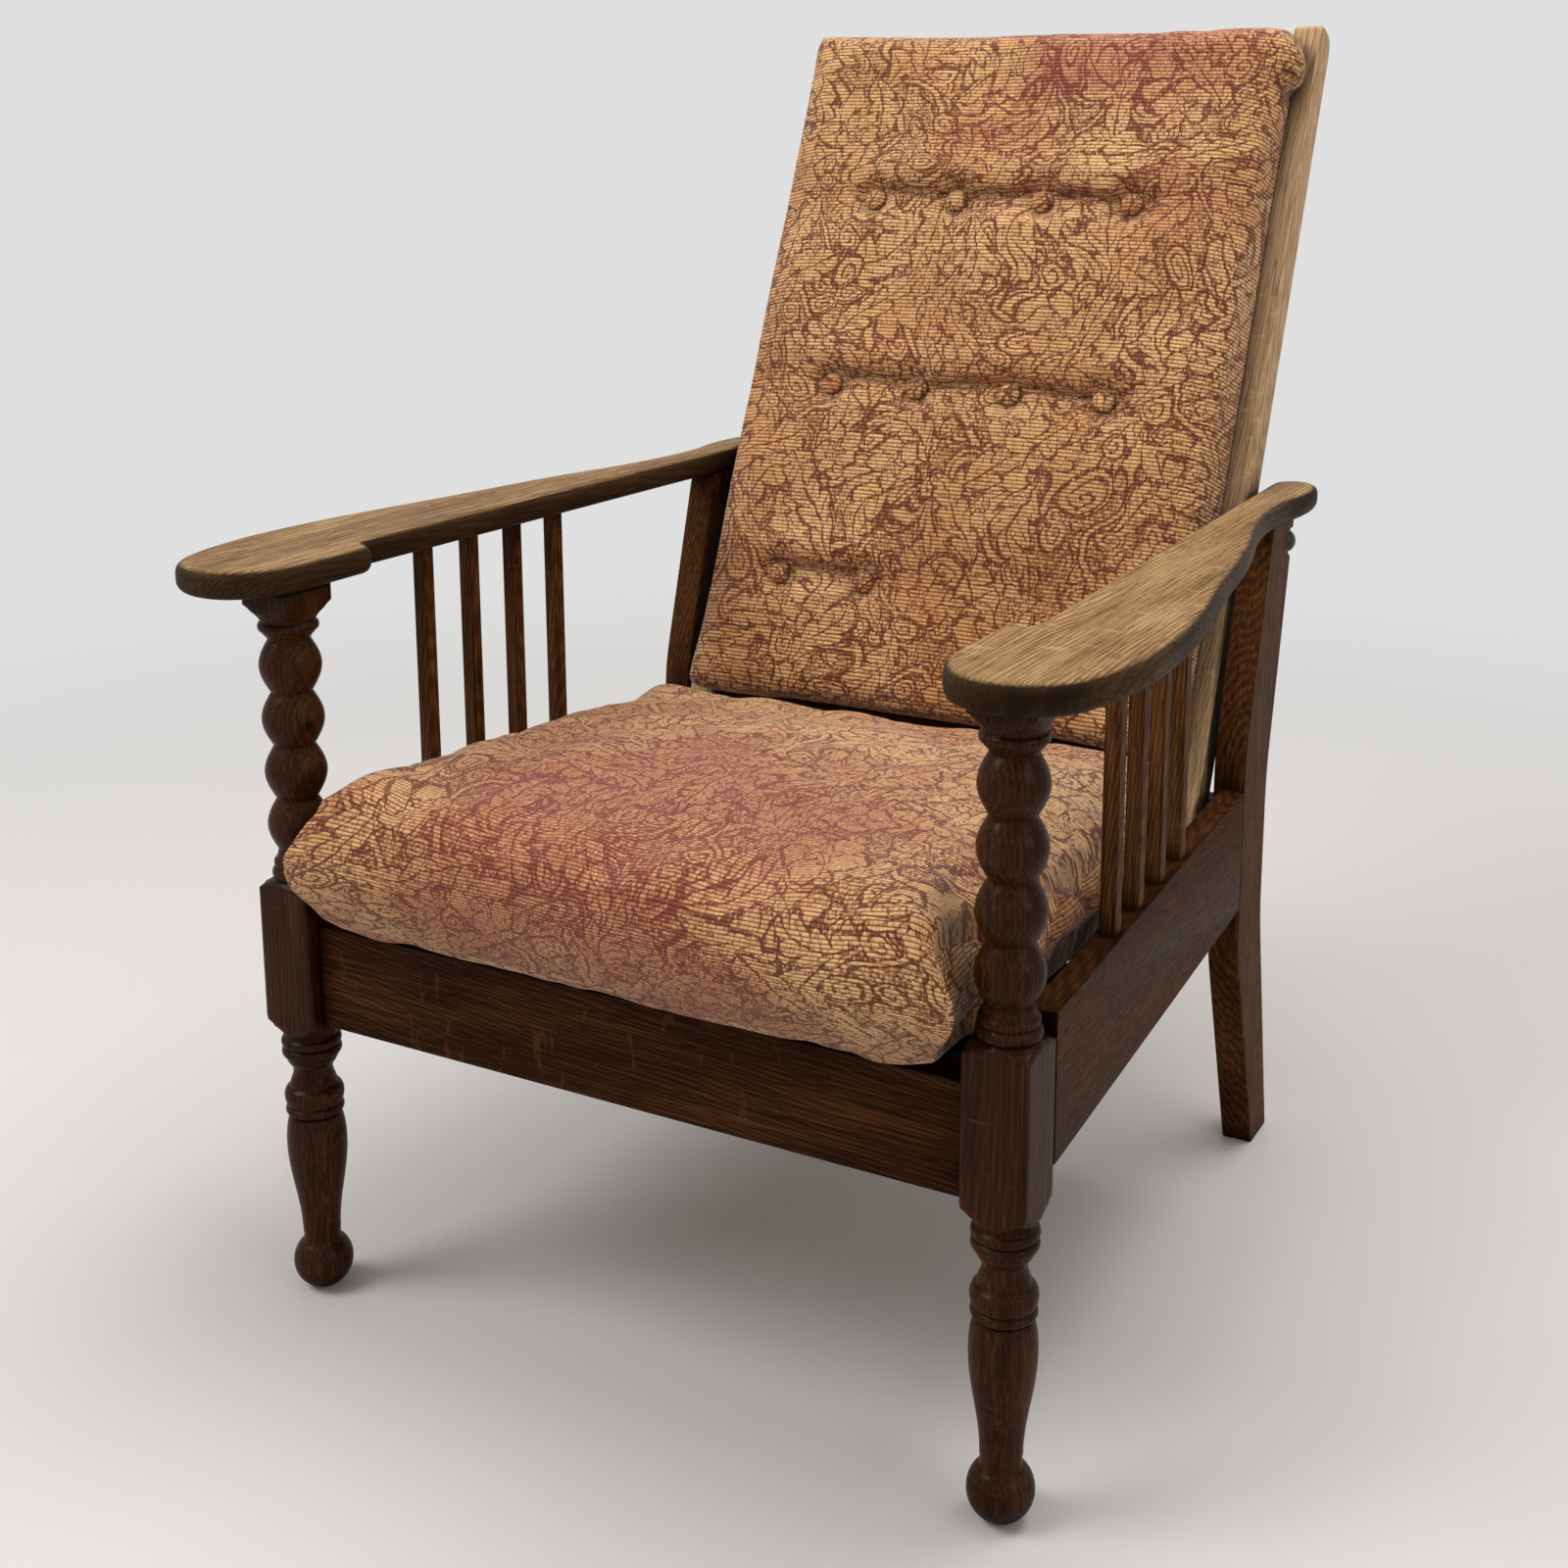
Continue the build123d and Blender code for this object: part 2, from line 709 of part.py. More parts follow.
def support_rod():
    y, z = rod_start()
    return Pos(0, y, z) * along_x(rod_radius, -rod_end_x, rod_end_x)


def rod_ball():
    y, z = rod_start()
    turns = [math.pi * step / knob_steps for step in range(knob_steps + 1)]
    outline = polygon(*[(-ball_knob_radius * math.cos(turn), ball_knob_radius * math.sin(turn))
                        for turn in turns])
    ball = Pos(ball_knob_x, y, z) * revolve(outline, axis=Axis.X)
    return ball - Pos(0, y, z) * along_x(rod_radius, 0, rod_end_x)


def ball_way():
    """The notch in the post's rear edge that the rod and its ball leave by."""
    reach = rod_travel()
    mouth = Pos(reach / 2, 0) * Rectangle(reach, 2 * post_notch_radius)
    notch = on_rod_path(Circle(post_notch_radius) + mouth)
    return in_side_view(notch, post_inner_x - overrun, post_outer_x + overrun)


def rack():
    """An iron plate on the post's inner face, with a slot that has a row of notches below."""
    travel = rod_travel()
    low = rod_radius + rod_gap
    high = rod_radius + rack_head_room
    slot = Pos(travel / 2, (high - low) / 2) * Rectangle(travel + 2 * low, high + low)
    for index in range(rack_notch_count):
        along = index * travel / (rack_notch_count - 1)
        slot += Pos(along, rack_notch_radius - low - rack_notch_depth) * Circle(rack_notch_radius)
    wall = low + rack_notch_depth + rack_wall
    jaw = Circle(wall) + Pos(travel, 0) * Circle(wall) + Pos(travel / 2, 0) * Rectangle(travel, 2 * wall)
    web = polygon((rack_front_y, rack_front_low_z), (rack_front_y, arm_underside_z),
                  (rack_rear_y, arm_underside_z), (rack_rear_y, rod_end_yz()[1]), rod_start())
    plate = web + on_rod_path(jaw)
    plate &= Pos((rack_front_y + rack_rear_y) / 2, arm_underside_z / 2) * Rectangle(
        rack_rear_y - rack_front_y, arm_underside_z)
    plate = in_side_view(plate - on_rod_path(slot), post_inner_x - rack_thickness, post_inner_x)
    plate += box_between(post_inner_x - rack_thickness, post_inner_x + rack_flange_width, rack_flange_front_y,
                         rack_rear_y, arm_underside_z - rack_thickness, arm_underside_z)
    return plate


def rod_end_yz():
    y, z = rod_start()
    along, down = rod_direction()
    return y + along * rod_travel(), z + down * rod_travel()


# Cushions. Each is a loft along x through closed sections of lines and arcs.


def seat_section(x, draw_in, crown):
    """Side view of the seat cushion: flat below, a round nose, a crowned top, a soft rear."""
    front, rear = seat_front_y + draw_in, seat_rear_y - draw_in
    low_front = deck_z(front) + lath_thickness + soft_gap + draw_in
    low_rear = deck_z(rear) + lath_thickness + soft_gap + draw_in
    top_front, top_rear = seat_top_front_z - draw_in, seat_top_rear_z - draw_in
    wire = Wire([
        Line((front + seat_nose, low_front), (rear, low_rear)),
        ThreePointArc((rear, low_rear), (rear + seat_rear_bulge, (low_rear + top_rear) / 2),
                      (rear, top_rear)),
        ThreePointArc((rear, top_rear), ((front + rear) / 2, (top_front + top_rear) / 2 + crown),
                      (front + seat_nose, top_front)),
        ThreePointArc((front + seat_nose, top_front), (front - seat_nose / 2, (low_front + top_front) / 2),
                      (front + seat_nose, low_front)),
    ])
    return Plane.YZ.offset(x) * make_face(wire)


def padded_loft(section, half_width, draw_in, crown):
    left = [(half_width * (2 * inward - 1), draw_in * drawn, crown * rise)
            for inward, drawn, rise in pad_shares]
    right = [(-x, inset, rise) for x, inset, rise in reversed(left)]
    return loft([section(*station) for station in left + [(0, 0, crown)] + right], ruled=True)


def seat_cushion():
    return padded_loft(seat_section, seat_half_width, seat_draw_in, seat_crown)


def back_section(x, draw_in, crown):
    """The back cushion's section, drawn as (n, t): flat behind, crowned in front."""
    rear = top_rail_front_n - soft_gap - draw_in / 2
    front = back_pad_front_n + draw_in
    low, high = back_pad_low_t + draw_in, back_pad_top_t - draw_in
    mid = (front + rear) / 2
    wire = Wire([
        Line((rear, low), (rear, high)),
        ThreePointArc((rear, high), (mid, high + back_pad_end_bulge), (front, high - back_pad_end_bulge)),
        ThreePointArc((front, high - back_pad_end_bulge), (front - crown, (low + high) / 2),
                      (front, low + back_pad_end_bulge)),
        ThreePointArc((front, low + back_pad_end_bulge), (mid, low - back_pad_end_bulge / 2), (rear, low)),
    ])
    return Plane.YZ.offset(x) * make_face(wire)


def pad_front_n(x, t):
    """About where the crowned front of the back cushion lies."""
    middle = (back_pad_low_t + back_pad_top_t) / 2
    half = (back_pad_top_t - back_pad_low_t) / 2
    across = 1 - (x / back_pad_half_width) ** 2 / 2
    return back_pad_front_n - back_pad_crown * across * (1 - ((t - middle) / half) ** 2)


def button_rows():
    height = back_pad_top_t - back_pad_low_t
    return [(back_pad_low_t + share * height, [x * back_pad_half_width for x in row])
            for share, row in button_row_shares]


def button_places():
    return [(x, t) for t, row in button_rows() for x in row]


def well_sphere():
    return (button_well_radius ** 2 + button_well_depth ** 2) / (2 * button_well_depth)


def button_seat():
    """How far above the well's lowest point the button's rim just clears the cloth."""
    sphere = well_sphere()
    return sphere - math.sqrt(sphere ** 2 - button_radius ** 2) + soft_gap / 2


def button_floor_n(x, t):
    return pad_front_n(x, t) + button_well_depth


def button():
    """A covered button: a disc, drawn with its back at y = 0, facing -Y."""
    return Pos(0, -button_height / 2, 0) * Rot(90, 0, 0) * Cylinder(button_radius, button_height)


def back_cushion():
    pad = padded_loft(back_section, back_pad_half_width, back_pad_draw_in, back_pad_crown)
    for t, row in button_rows():
        surface = pad_front_n((row[0] + row[-1]) / 2, t)
        pad -= Pos(0, surface + crease_depth - crease_radius, t) * along_x(crease_radius, row[0], row[-1])
    for x, t in button_places():
        pad -= Pos(x, button_floor_n(x, t) - well_sphere(), t) * Sphere(well_sphere())
    return pad


def buttons():
    return [Pos(x, button_floor_n(x, t) - button_seat(), t) * button() for x, t in button_places()]


# Assembly


def group(shapes):
    return Compound(children=list(shapes))


def solids_of(shape):
    parts = shape.solids()
    return parts[0] if len(parts) == 1 else Compound(children=list(parts))


def build_chair():
    pieces = {}

    def pair(name, shape):
        pieces[name + "_right"] = shape
        pieces[name + "_left"] = mirrored(shape)

    def twin(name, shape):
        pieces[name] = group([shape, mirrored(shape)])

    pair("front_leg", front_leg())
    pair("rear_post", rear_post())
    pair("side_rail", side_rail())
    pair("arm", arm())
    pieces["front_rail"] = front_rail()
    pieces["rear_rail"] = rear_rail()
    for index in range(slat_count):
        pair(f"arm_slat_{index + 1}", slat(index))
    pair("seat_bearer", bearer())
    pair("corner_block", corner_block())
    for index in range(lath_count):
        pieces[f"seat_lath_{index + 1}"] = lath(index)
    for name, limits in crossbars().items():
        pieces[name] = back_place(crossbar(limits))
    pair("back_stile", back_place(stile()))
    twin("hinge_leaves_fixed", fixed_place(hinge_leaf(0)))
    twin("hinge_leaves_moving", back_place(moving_place(hinge_leaf(1))))
    twin("hinge_pins", fixed_place(hinge_pin()))
    pair("rod_rack", rack())
    pieces["support_rod"] = support_rod()
    twin("rod_balls", rod_ball())
    pieces["seat_cushion"] = seat_cushion()
    pieces["back_cushion"] = back_place(back_cushion())
    pieces["back_buttons"] = group([back_place(item) for item in buttons()])
    return pieces


os.makedirs("parts", exist_ok=True)
chair = build_chair()
bounds = Compound(children=[solids_of(shape) for shape in chair.values()]).bounding_box()
move_y = -(bounds.min.Y + bounds.max.Y) / 2
shift = Pos(0, move_y, -bounds.min.Z)
for name, shape in chair.items():
    export_step(shift * solids_of(shape), f"parts/{name}.step")

print("size", bounds.size, "moved in y by", round(move_y, 3))
print("hinge axis", recline_axis_y + move_y, recline_axis_z)
print("rod start", rod_start()[0] + move_y, rod_start()[1])
print("rod direction", rod_direction(), "travel", rod_travel())
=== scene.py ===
import math

import bpy
import numpy as np
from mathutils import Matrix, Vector


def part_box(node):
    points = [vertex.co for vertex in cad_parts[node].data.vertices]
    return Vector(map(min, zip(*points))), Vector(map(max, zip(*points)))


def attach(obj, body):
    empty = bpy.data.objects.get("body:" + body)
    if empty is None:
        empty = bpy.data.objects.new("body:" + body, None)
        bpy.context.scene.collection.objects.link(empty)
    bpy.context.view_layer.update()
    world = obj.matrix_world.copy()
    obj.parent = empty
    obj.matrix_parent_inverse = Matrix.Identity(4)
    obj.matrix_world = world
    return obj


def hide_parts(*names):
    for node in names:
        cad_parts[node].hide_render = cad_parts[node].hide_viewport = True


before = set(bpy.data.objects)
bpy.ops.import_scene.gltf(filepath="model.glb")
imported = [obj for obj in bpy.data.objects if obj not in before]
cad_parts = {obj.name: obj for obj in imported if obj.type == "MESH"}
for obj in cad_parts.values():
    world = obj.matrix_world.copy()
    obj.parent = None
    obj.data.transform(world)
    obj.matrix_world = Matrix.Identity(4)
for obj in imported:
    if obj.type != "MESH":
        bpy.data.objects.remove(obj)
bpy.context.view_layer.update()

# Front legs: oak squares turned between centres into ball, vase, bell, rings, a block left square
# for the rails, and four bobbins. Stained and waxed, with the hollows darkened: wax and dirt, and painted
# shade.

MM = 0.001
LEG_X = 302 * MM
LEG_Y = -366.734 * MM
LEG_HALF = 24 * MM
CORNER_POWER = 26
LEG_SIDES = 96
RING_PITCH = 3.4 * MM


class Finish:
    """One surface finish, put together from shader nodes."""

    def __init__(self, name):
        self.material = bpy.data.materials.new(name)
        self.material.use_nodes = True
        self.tree = self.material.node_tree
        self.tree.nodes.clear()
        self.surface = self.tree.nodes.new("ShaderNodeBsdfPrincipled")
        out = self.tree.nodes.new("ShaderNodeOutputMaterial")
        self.tree.links.new(self.surface.outputs[0], out.inputs[0])

    def put(self, socket, value):
        if isinstance(value, bpy.types.NodeSocket):
            self.tree.links.new(value, socket)
        elif value is not None:
            socket.default_value = value

    def node(self, kind, inputs=(), **settings):
        made = self.tree.nodes.new(kind)
        for key, value in settings.items():
            setattr(made, key, value)
        pairs = inputs.items() if isinstance(inputs, dict) else enumerate(inputs)
        for key, value in pairs:
            self.put(made.inputs[key], value)
        return made

    def calc(self, operation, *values):
        return self.node("ShaderNodeMath", values, operation=operation).outputs[0]

    def times(self, value, factor):
        return self.calc("MULTIPLY", value, factor)

    def times_plus(self, value, factor, more):
        return self.calc("MULTIPLY_ADD", value, factor, more)

    def less(self, value, other):
        return self.calc("SUBTRACT", value, other)

    def size_of(self, value):
        return self.calc("ABSOLUTE", value)

    def along(self, operation, *values):
        return self.node("ShaderNodeVectorMath", values, operation=operation).outputs[0]

    def measure(self, operation, *values):
        return self.node("ShaderNodeVectorMath", values, operation=operation).outputs["Value"]

    def soft(self, value, low, high):
        made = self.node("ShaderNodeMapRange", (value, low, high, 0.0, 1.0), interpolation_type="SMOOTHSTEP")
        return made.outputs[0]

    def blend(self, share, first, second):
        made = self.node("ShaderNodeMix", data_type="RGBA")
        self.put(made.inputs[0], share)
        for socket, value in ((made.inputs[6], first), (made.inputs[7], second)):
            self.put(socket, (*value, 1.0) if isinstance(value, tuple) else value)
        return made.outputs[2]

    def noise(self, place, scale, detail=3.0, rough=0.5, twist=0.0):
        made = self.node("ShaderNodeTexNoise", {"Vector": place, "Scale": scale, "Detail": detail,
                                                "Roughness": rough, "Distortion": twist})
        return made.outputs[0]

    def bump(self, height, distance):
        return self.node("ShaderNodeBump", {"Distance": distance, "Height": height}).outputs["Normal"]

    def dress(self, **sockets):
        for name, value in sockets.items():
            socket = self.surface.inputs[name.replace("_", " ")]
            self.put(socket, (*value, 1.0) if isinstance(value, tuple) else value)
        return self.material


def shade(color, share):
    return tuple(share * c for c in color)


def oak(name, grain, dark, mid, light, dull=0.45, edge=0.6, lean=0.0, figure=1.0, pith=(0.06, -0.05),
        edge_grime_and_shade=0.0, knot=None):
    """Stained oak. grain is the axis that the fibres follow, or "slope" for pieces that lean by lean. dull
    is the roughness, edge how dark the rims are, figure how strong the rings, pith how far off the tree's
    heart lies, edge_grime_and_shade how dark the faces that turn from up become, partly grime on handled
    edges and partly painted shade, and knot a knot's place."""
    wood = Finish(name)
    spot = place = wood.node("ShaderNodeTexCoord").outputs["Object"]
    upright = (0, math.pi / 2, 0)
    turn = {"x": (0, 0, 0), "y": (0, 0, -math.pi / 2), "z": upright, "slope": upright}[grain]
    if grain == "slope":
        place = wood.node("ShaderNodeMapping", {"Vector": place, "Rotation": (lean, 0, 0)}).outputs[0]
    place = wood.node("ShaderNodeMapping", {"Vector": place, "Rotation": turn}).outputs[0]
    own = wood.node("ShaderNodeObjectInfo").outputs["Random"]
    shift = [wood.times(own, reach) for reach in (9.0, 0.13, 0.05)]
    shift = wood.node("ShaderNodeCombineXYZ", shift).outputs[0]
    place = wood.along("ADD", place, shift)
    drift = wood.noise(wood.along("MULTIPLY", place, (2.2, 14, 14)), 1.0, 3.0)
    parts = wood.node("ShaderNodeSeparateXYZ", (place,)).outputs
    across = wood.calc("ADD", parts[1], pith[0])
    deep = wood.calc("ADD", wood.times_plus(parts[0], 0.11, parts[2]), pith[1])
    ring = wood.calc("SQRT", wood.calc("ADD", wood.calc("POWER", across, 2.0), wood.calc("POWER", deep, 2.0)))
    ring = wood.times_plus(drift, 0.042, ring)
    ring = wood.calc("SINE", wood.times(ring, 2 * math.pi / RING_PITCH))
    ring = wood.times_plus(ring, 0.5 * figure, 0.5)
    fibre = wood.noise(wood.along("MULTIPLY", place, (9, 420, 420)), 1.0, 4.0, 0.6)
    pore = wood.noise(wood.along("MULTIPLY", place, (42, 900, 900)), 1.0, 2.0, 0.5)
    pore = wood.times(wood.soft(pore, 0.54, 0.66), wood.times_plus(ring, 0.6, 0.4))
    fleck = wood.noise(wood.along("MULTIPLY", place, (120, 36, 36)), 1.0, 1.0, 0.4, 0.8)
    fleck = wood.times(wood.soft(fleck, 0.66, 0.74), wood.soft(drift, 0.45, 0.6))
    patch = wood.noise(wood.along("MULTIPLY", place, (5, 26, 26)), 1.0, 3.0)
    tone = wood.calc("ADD", wood.times(ring, 0.17), wood.times(fibre, 0.72))
    tone = wood.calc("ADD", tone, wood.times(patch, 0.5))
    color = wood.blend(wood.soft(tone, 0.35, 0.72), dark, mid)
    color = wood.blend(wood.soft(tone, 0.62, 1.02), color, light)
    color = wood.blend(wood.times(fleck, 0.5), color, light)
    color = wood.blend(wood.times(pore, 0.62), color, shade(dark, 0.28))
    rounded = wood.node("ShaderNodeBevel", (0.0035,), samples=4).outputs[0]
    facing = wood.node("ShaderNodeNewGeometry").outputs["Normal"]
    rim = wood.measure("DOT_PRODUCT", rounded, facing)
    rim = wood.times(wood.soft(rim, 0.995, 0.86), wood.soft(patch, 0.3, 0.62))
    color = wood.blend(wood.times(rim, edge), color, shade(dark, 0.3))
    # Painted shade: the colour darkens where other surfaces are near, in hollows, joints and beside the
    # cushions, standing in part for wax and dirt.
    open_sky = wood.node("ShaderNodeAmbientOcclusion", {"Distance": 0.024}, samples=4)
    shade_in_nooks = wood.soft(open_sky.outputs["AO"], 0.92, 0.4)
    color = wood.blend(wood.times(shade_in_nooks, 0.86), color, shade(dark, 0.2))
    wax = wood.less(1.0, shade_in_nooks)
    # Faces that turn from up are darkened: grime on the handled edges, and partly painted shade on the sides.
    if edge_grime_and_shade:
        upward = wood.node("ShaderNodeSeparateXYZ", (facing,)).outputs[2]
        uneven = wood.times_plus(patch, 0.5, edge_grime_and_shade - 0.25)
        grime_and_side_shade = wood.times(wood.soft(upward, 0.985, 0.68), uneven)
        color = wood.blend(grime_and_side_shade, color, shade(dark, 0.32))
    if knot:
        away = wood.measure("DISTANCE", spot, knot)
        away = wood.times_plus(fibre, 0.0022, away)
        shell = wood.times_plus(wood.calc("SINE", wood.times(away, 3600.0)), 0.3, 0.7)
        shell = wood.times(wood.soft(away, 0.0085, 0.0035), shell)
        color = wood.blend(shell, color, shade(dark, 0.3))
    height = wood.less(wood.times(fibre, 0.4), pore)
    roughness = wood.times_plus(patch, 0.22, dull - 0.1)
    roughness = wood.times_plus(pore, 0.2, roughness)
    return wood.dress(Base_Color=color, Roughness=roughness, Normal=wood.bump(height, 0.00025),
                      Coat_Weight=wood.times(wax, 0.1) if dull < 0.4 else 0.0,
                      Coat_Roughness=0.2, Specular_IOR_Level=0.035)


def new_piece(name, points, faces, material, smooth=True):
    mesh = bpy.data.meshes.new(name)
    mesh.from_pydata([tuple(float(c) for c in p) for p in points], [], faces)
    mesh.validate()
    mesh.materials.append(material)
    if smooth:
        mesh.shade_smooth()
    piece = bpy.data.objects.new(name, mesh)
    bpy.context.scene.collection.objects.link(piece)
    return piece


def take_over(piece, node, body):
    """Puts a made piece in place of a CAD piece, on the body that carries it."""
    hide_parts(node)
    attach(piece, body)


def tube_faces(rings, count):
    """Faces of a skin over rings of points, with a flat face on each end."""
    faces = []
    for ring in range(rings - 1):
        low, high = ring * count, (ring + 1) * count
        for step in range(count):
            after = (step + 1) % count
            faces.append((low + step, low + after, high + after, high + step))
    faces.append(tuple(reversed(range(count))))
    faces.append(tuple(range((rings - 1) * count, rings * count)))
    return faces


def ess(z0, r0, z1, r1, steps=12):
    """A soft curve, upright at both ends."""
    return [(z0 + (z1 - z0) * i / steps, r0 + (r1 - r0) * (1 - math.cos(math.pi * i / steps)) / 2)
            for i in range(steps + 1)]


def swell(z0, r0, z1, r1, peak, power=0.6, steps=14):
    """A turned bead or bobbin between two hollows. A lower power makes it squarer."""
    run = []
    for i in range(steps + 1):
        share = i / steps
        base = r0 + (r1 - r0) * share
        run.append((z0 + (z1 - z0) * share, base + (peak - base) * math.sin(math.pi * share) ** power))
    return run


BOBBINS, BOBBIN_FOOT, BOBBIN_PITCH = 4, 376.25, 42.5
BOBBIN_NECK, BOBBIN_CREST = 15.8, 23.8


def leg_profile():
    """Heights and radii of the turning in mm, from floor to arm. A radius over 34 leaves the stock square."""
    ball, flat, foot = 23.7, 7.0, 15.0
    centre = math.sqrt(ball ** 2 - flat ** 2)
    first, last = -math.acos(flat / ball), math.acos(foot / ball)
    run = []
    for i in range(23):
        turn = first + (last - first) * i / 22
        run.append((centre + ball * math.sin(turn), ball * math.cos(turn)))
    run += [(43.5, 14.6), (46.5, 14.5)] + ess(50, 15.0, 128, 23.7, 30)
    run += [(128 + 25 * math.sin(a), 18.5 + 5.2 * math.cos(a)) for a in np.linspace(0.12, math.pi / 2, 12)]
    run += swell(153.2, 18.9, 161, 21.0, 23.0, 0.55) + swell(161.2, 21.0, 177, 19.2, 23.4, 0.55)
    run += ess(177.5, 18.6, 190, 15.5) + ess(191, 15.5, 203, 20.6)
    run += swell(203.3, 20.6, 211.5, 20.8, 23.5, 0.55) + swell(211.7, 20.8, 220, 20.6, 23.6, 0.55)
    run += [(221.5, 20.4), (224, 21.5), (228, 24.5), (232, 28.5), (236, 32.5), (240, 36), (292, 36)]
    run += [(345, 36), (347, 33.5), (349.5, 28.5), (351.5, 23.5), (353, 19.5)]
    run += swell(353.2, 19.5, 363, 19.8, 22.6, 0.55) + swell(363.2, 19.8, 370, 18.4, 20.8, 0.6)
    run += ess(370.4, 18.2, 376, 17.0, 6)
    for index in range(BOBBINS):
        low = BOBBIN_FOOT + BOBBIN_PITCH * index
        run += swell(low + 0.2, BOBBIN_NECK, low + BOBBIN_PITCH - 0.2, BOBBIN_NECK, BOBBIN_CREST, 1.0, 28)
    run += ess(547, 17.0, 552, 20.4, 6) + swell(552.2, 20.6, 560, 20.8, 23.2, 0.55)
    run += [(561, 20.9), (565, 23.5), (570, 28.5), (574, 33), (576.5, 36), (582, 36), (588.95, 36)]
    return run


def turned_leg(name, side, node, material):
    points = []
    profile = leg_profile()
    turns = [2 * math.pi * i / LEG_SIDES for i in range(LEG_SIDES)]
    for z, radius in profile:
        for turn in turns:
            c, s = abs(math.cos(turn)), abs(math.sin(turn))
            stock = LEG_HALF / (c ** CORNER_POWER + s ** CORNER_POWER) ** (1 / CORNER_POWER)
            reach = min(radius * MM, stock)
            points.append((side * LEG_X + reach * math.cos(turn), LEG_Y + reach * math.sin(turn), z * MM))
    leg = new_piece(name, points, tube_faces(len(profile), LEG_SIDES), material)
    take_over(leg, node, "frame")


LEG_DARK, LEG_MID, LEG_LIGHT = (0.007, 0.0018, 0.0005), (0.029, 0.0080, 0.0019), (0.088, 0.030, 0.0082)
leg_oak = oak("waxed_leg_oak", "z", LEG_DARK, LEG_MID, LEG_LIGHT, dull=0.34, edge=0.75, figure=0.6,
              knot=(-279.8 * MM, -374.4 * MM, 480 * MM))
turned_leg("turned_leg_left", -1, "front_leg_left", leg_oak)
turned_leg("turned_leg_right", 1, "front_leg_right", leg_oak)

# Seat frame: two side rails, a front rail and an arched rear rail, sawn oak boards tenoned into the
# legs and posts, with glue blocks in the front corners. Their long edges are eased with a plane.

RAIL_DARK, RAIL_MID, RAIL_LIGHT = (0.007, 0.0018, 0.0005), (0.034, 0.0100, 0.0025), (0.092, 0.032, 0.0088)
rail_oak_long = oak("side_rail_oak", "y", RAIL_DARK, RAIL_MID, RAIL_LIGHT)
# Painted shade: the cross rails and corner blocks take the side rails' mid tone at 0.8, for the shadow under
# the seat cushion.
shaded_rail_oak_across = oak("shaded_cross_rail_oak", "x", RAIL_DARK, shade(RAIL_MID, 0.8), RAIL_LIGHT)


def finish_node(node, material, ease=0.0):
    """Gives a CAD piece its material, and eases its sharp edges where ease is its rounding in metres."""
    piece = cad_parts[node]
    piece.data.materials.clear()
    piece.data.materials.append(material)
    if ease:
        piece.modifiers.new("joined", "WELD").merge_threshold = 1e-5
        rounding = piece.modifiers.new("eased", "BEVEL")
        rounding.width = ease
        rounding.segments = 3
        rounding.limit_method = "ANGLE"
        rounding.angle_limit = math.radians(35)
        rounding.harden_normals = True


for rail, material in (("side_rail_left", rail_oak_long), ("side_rail_right", rail_oak_long),
                       ("front_rail", shaded_rail_oak_across), ("rear_rail", shaded_rail_oak_across),
                       ("corner_block_left", shaded_rail_oak_across), ("corner_block_right", shaded_rail_oak_across)):
    finish_node(rail, material, 1.2 * MM)

# Rear posts: planks sawn to a kicked outline, so that the grain runs straight while the post bends.
# The side rails, the rear rail and the arms are tenoned into them, and they are stained like the rails.

post_oak = oak("post_oak", "z", RAIL_DARK, (0.060, 0.0195, 0.0048), (0.145, 0.060, 0.0185))
for post in ("rear_post_left", "rear_post_right"):
    finish_node(post, post_oak, 0.8 * MM)

# Side slats: eight square sticks, four under each arm, let into the rails and the arms. They have
# faded a little lighter than the frame between their dark edges.

slat_oak = oak("slat_oak", "z", (0.012, 0.0036, 0.0011), (0.071, 0.026, 0.0078), (0.18, 0.080, 0.028),
               dull=0.42, edge=0.8)
for number in range(1, 5):
    for hand in ("left", "right"):
        finish_node(f"arm_slat_{number}_{hand}", slat_oak, 0.5 * MM)

# Arms: one wide board each, band-sawn to a paddle in front and a narrow tail behind, with rounded
# edges. Hands have worn the stain off the top, and the edges have gone dark and dull: a darkening by
# how far each face turns from up, partly grime and partly painted shade.

ARM_LOW, ARM_TOP = 589 * MM, 611 * MM
ARM_ROUNDING = 8 * MM
ARM_FRONT, ARM_TAIL = -76 * MM + LEG_Y, 690 * MM + LEG_Y
ARM_INNER, ARM_OUTER = 265 * MM, 382 * MM
ARM_STATIONS = (
    (0.0862, 0.0, -90.0), (0.0, 0.4274, 0.0), (0.158, 1.0, 90.0), (0.5144, 0.6923, 98.0),
    (0.8381, 0.3504, 90.0), (0.9347, 0.4017, 90.0), (1.0, 0.1966, 180.0), (0.9687, 0.0085, 271.75),
)


def tangent_arc(start, way, end):
    """Points of the arc that leaves start along way and passes through end."""
    start, way, end = np.array(start, float), np.array(way, float), np.array(end, float)
    left = np.array((-way[1], way[0]))
    chord = end - start
    bend = 2 * chord.dot(left) / chord.dot(chord)
    shares = np.linspace(0, 1, 15)[:, None]
    if abs(bend) < 1e-6:
        return start + chord * shares
    turns = 2 * math.atan2(chord.dot(left), chord.dot(way)) * shares
    return start + way * np.sin(turns) / bend + left * (1 - np.cos(turns)) / bend


def toward(degrees):
    turn = math.radians(degrees)
    return np.array((math.cos(turn), math.sin(turn)))


def two_arcs(start, start_deg, end, end_deg):
    """Points of the two arcs that join start to end and meet their headings there."""
    out, back = toward(start_deg), toward(end_deg)
    start, end = np.array(start, float), np.array(end, float)
    gap, both = end - start, out + back
    turn = 2 * (1 - out.dot(back))
    if turn < 1e-9:
        reach = gap.dot(gap) / (2 * gap.dot(both))
    else:
        reach = (math.sqrt(gap.dot(both) ** 2 + turn * gap.dot(gap)) - gap.dot(both)) / turn
    middle = (start + out * reach + end - back * reach) / 2
    return np.vstack([tangent_arc(start, out, middle)[:-1], tangent_arc(end, -back, middle)[::-1][:-1]])


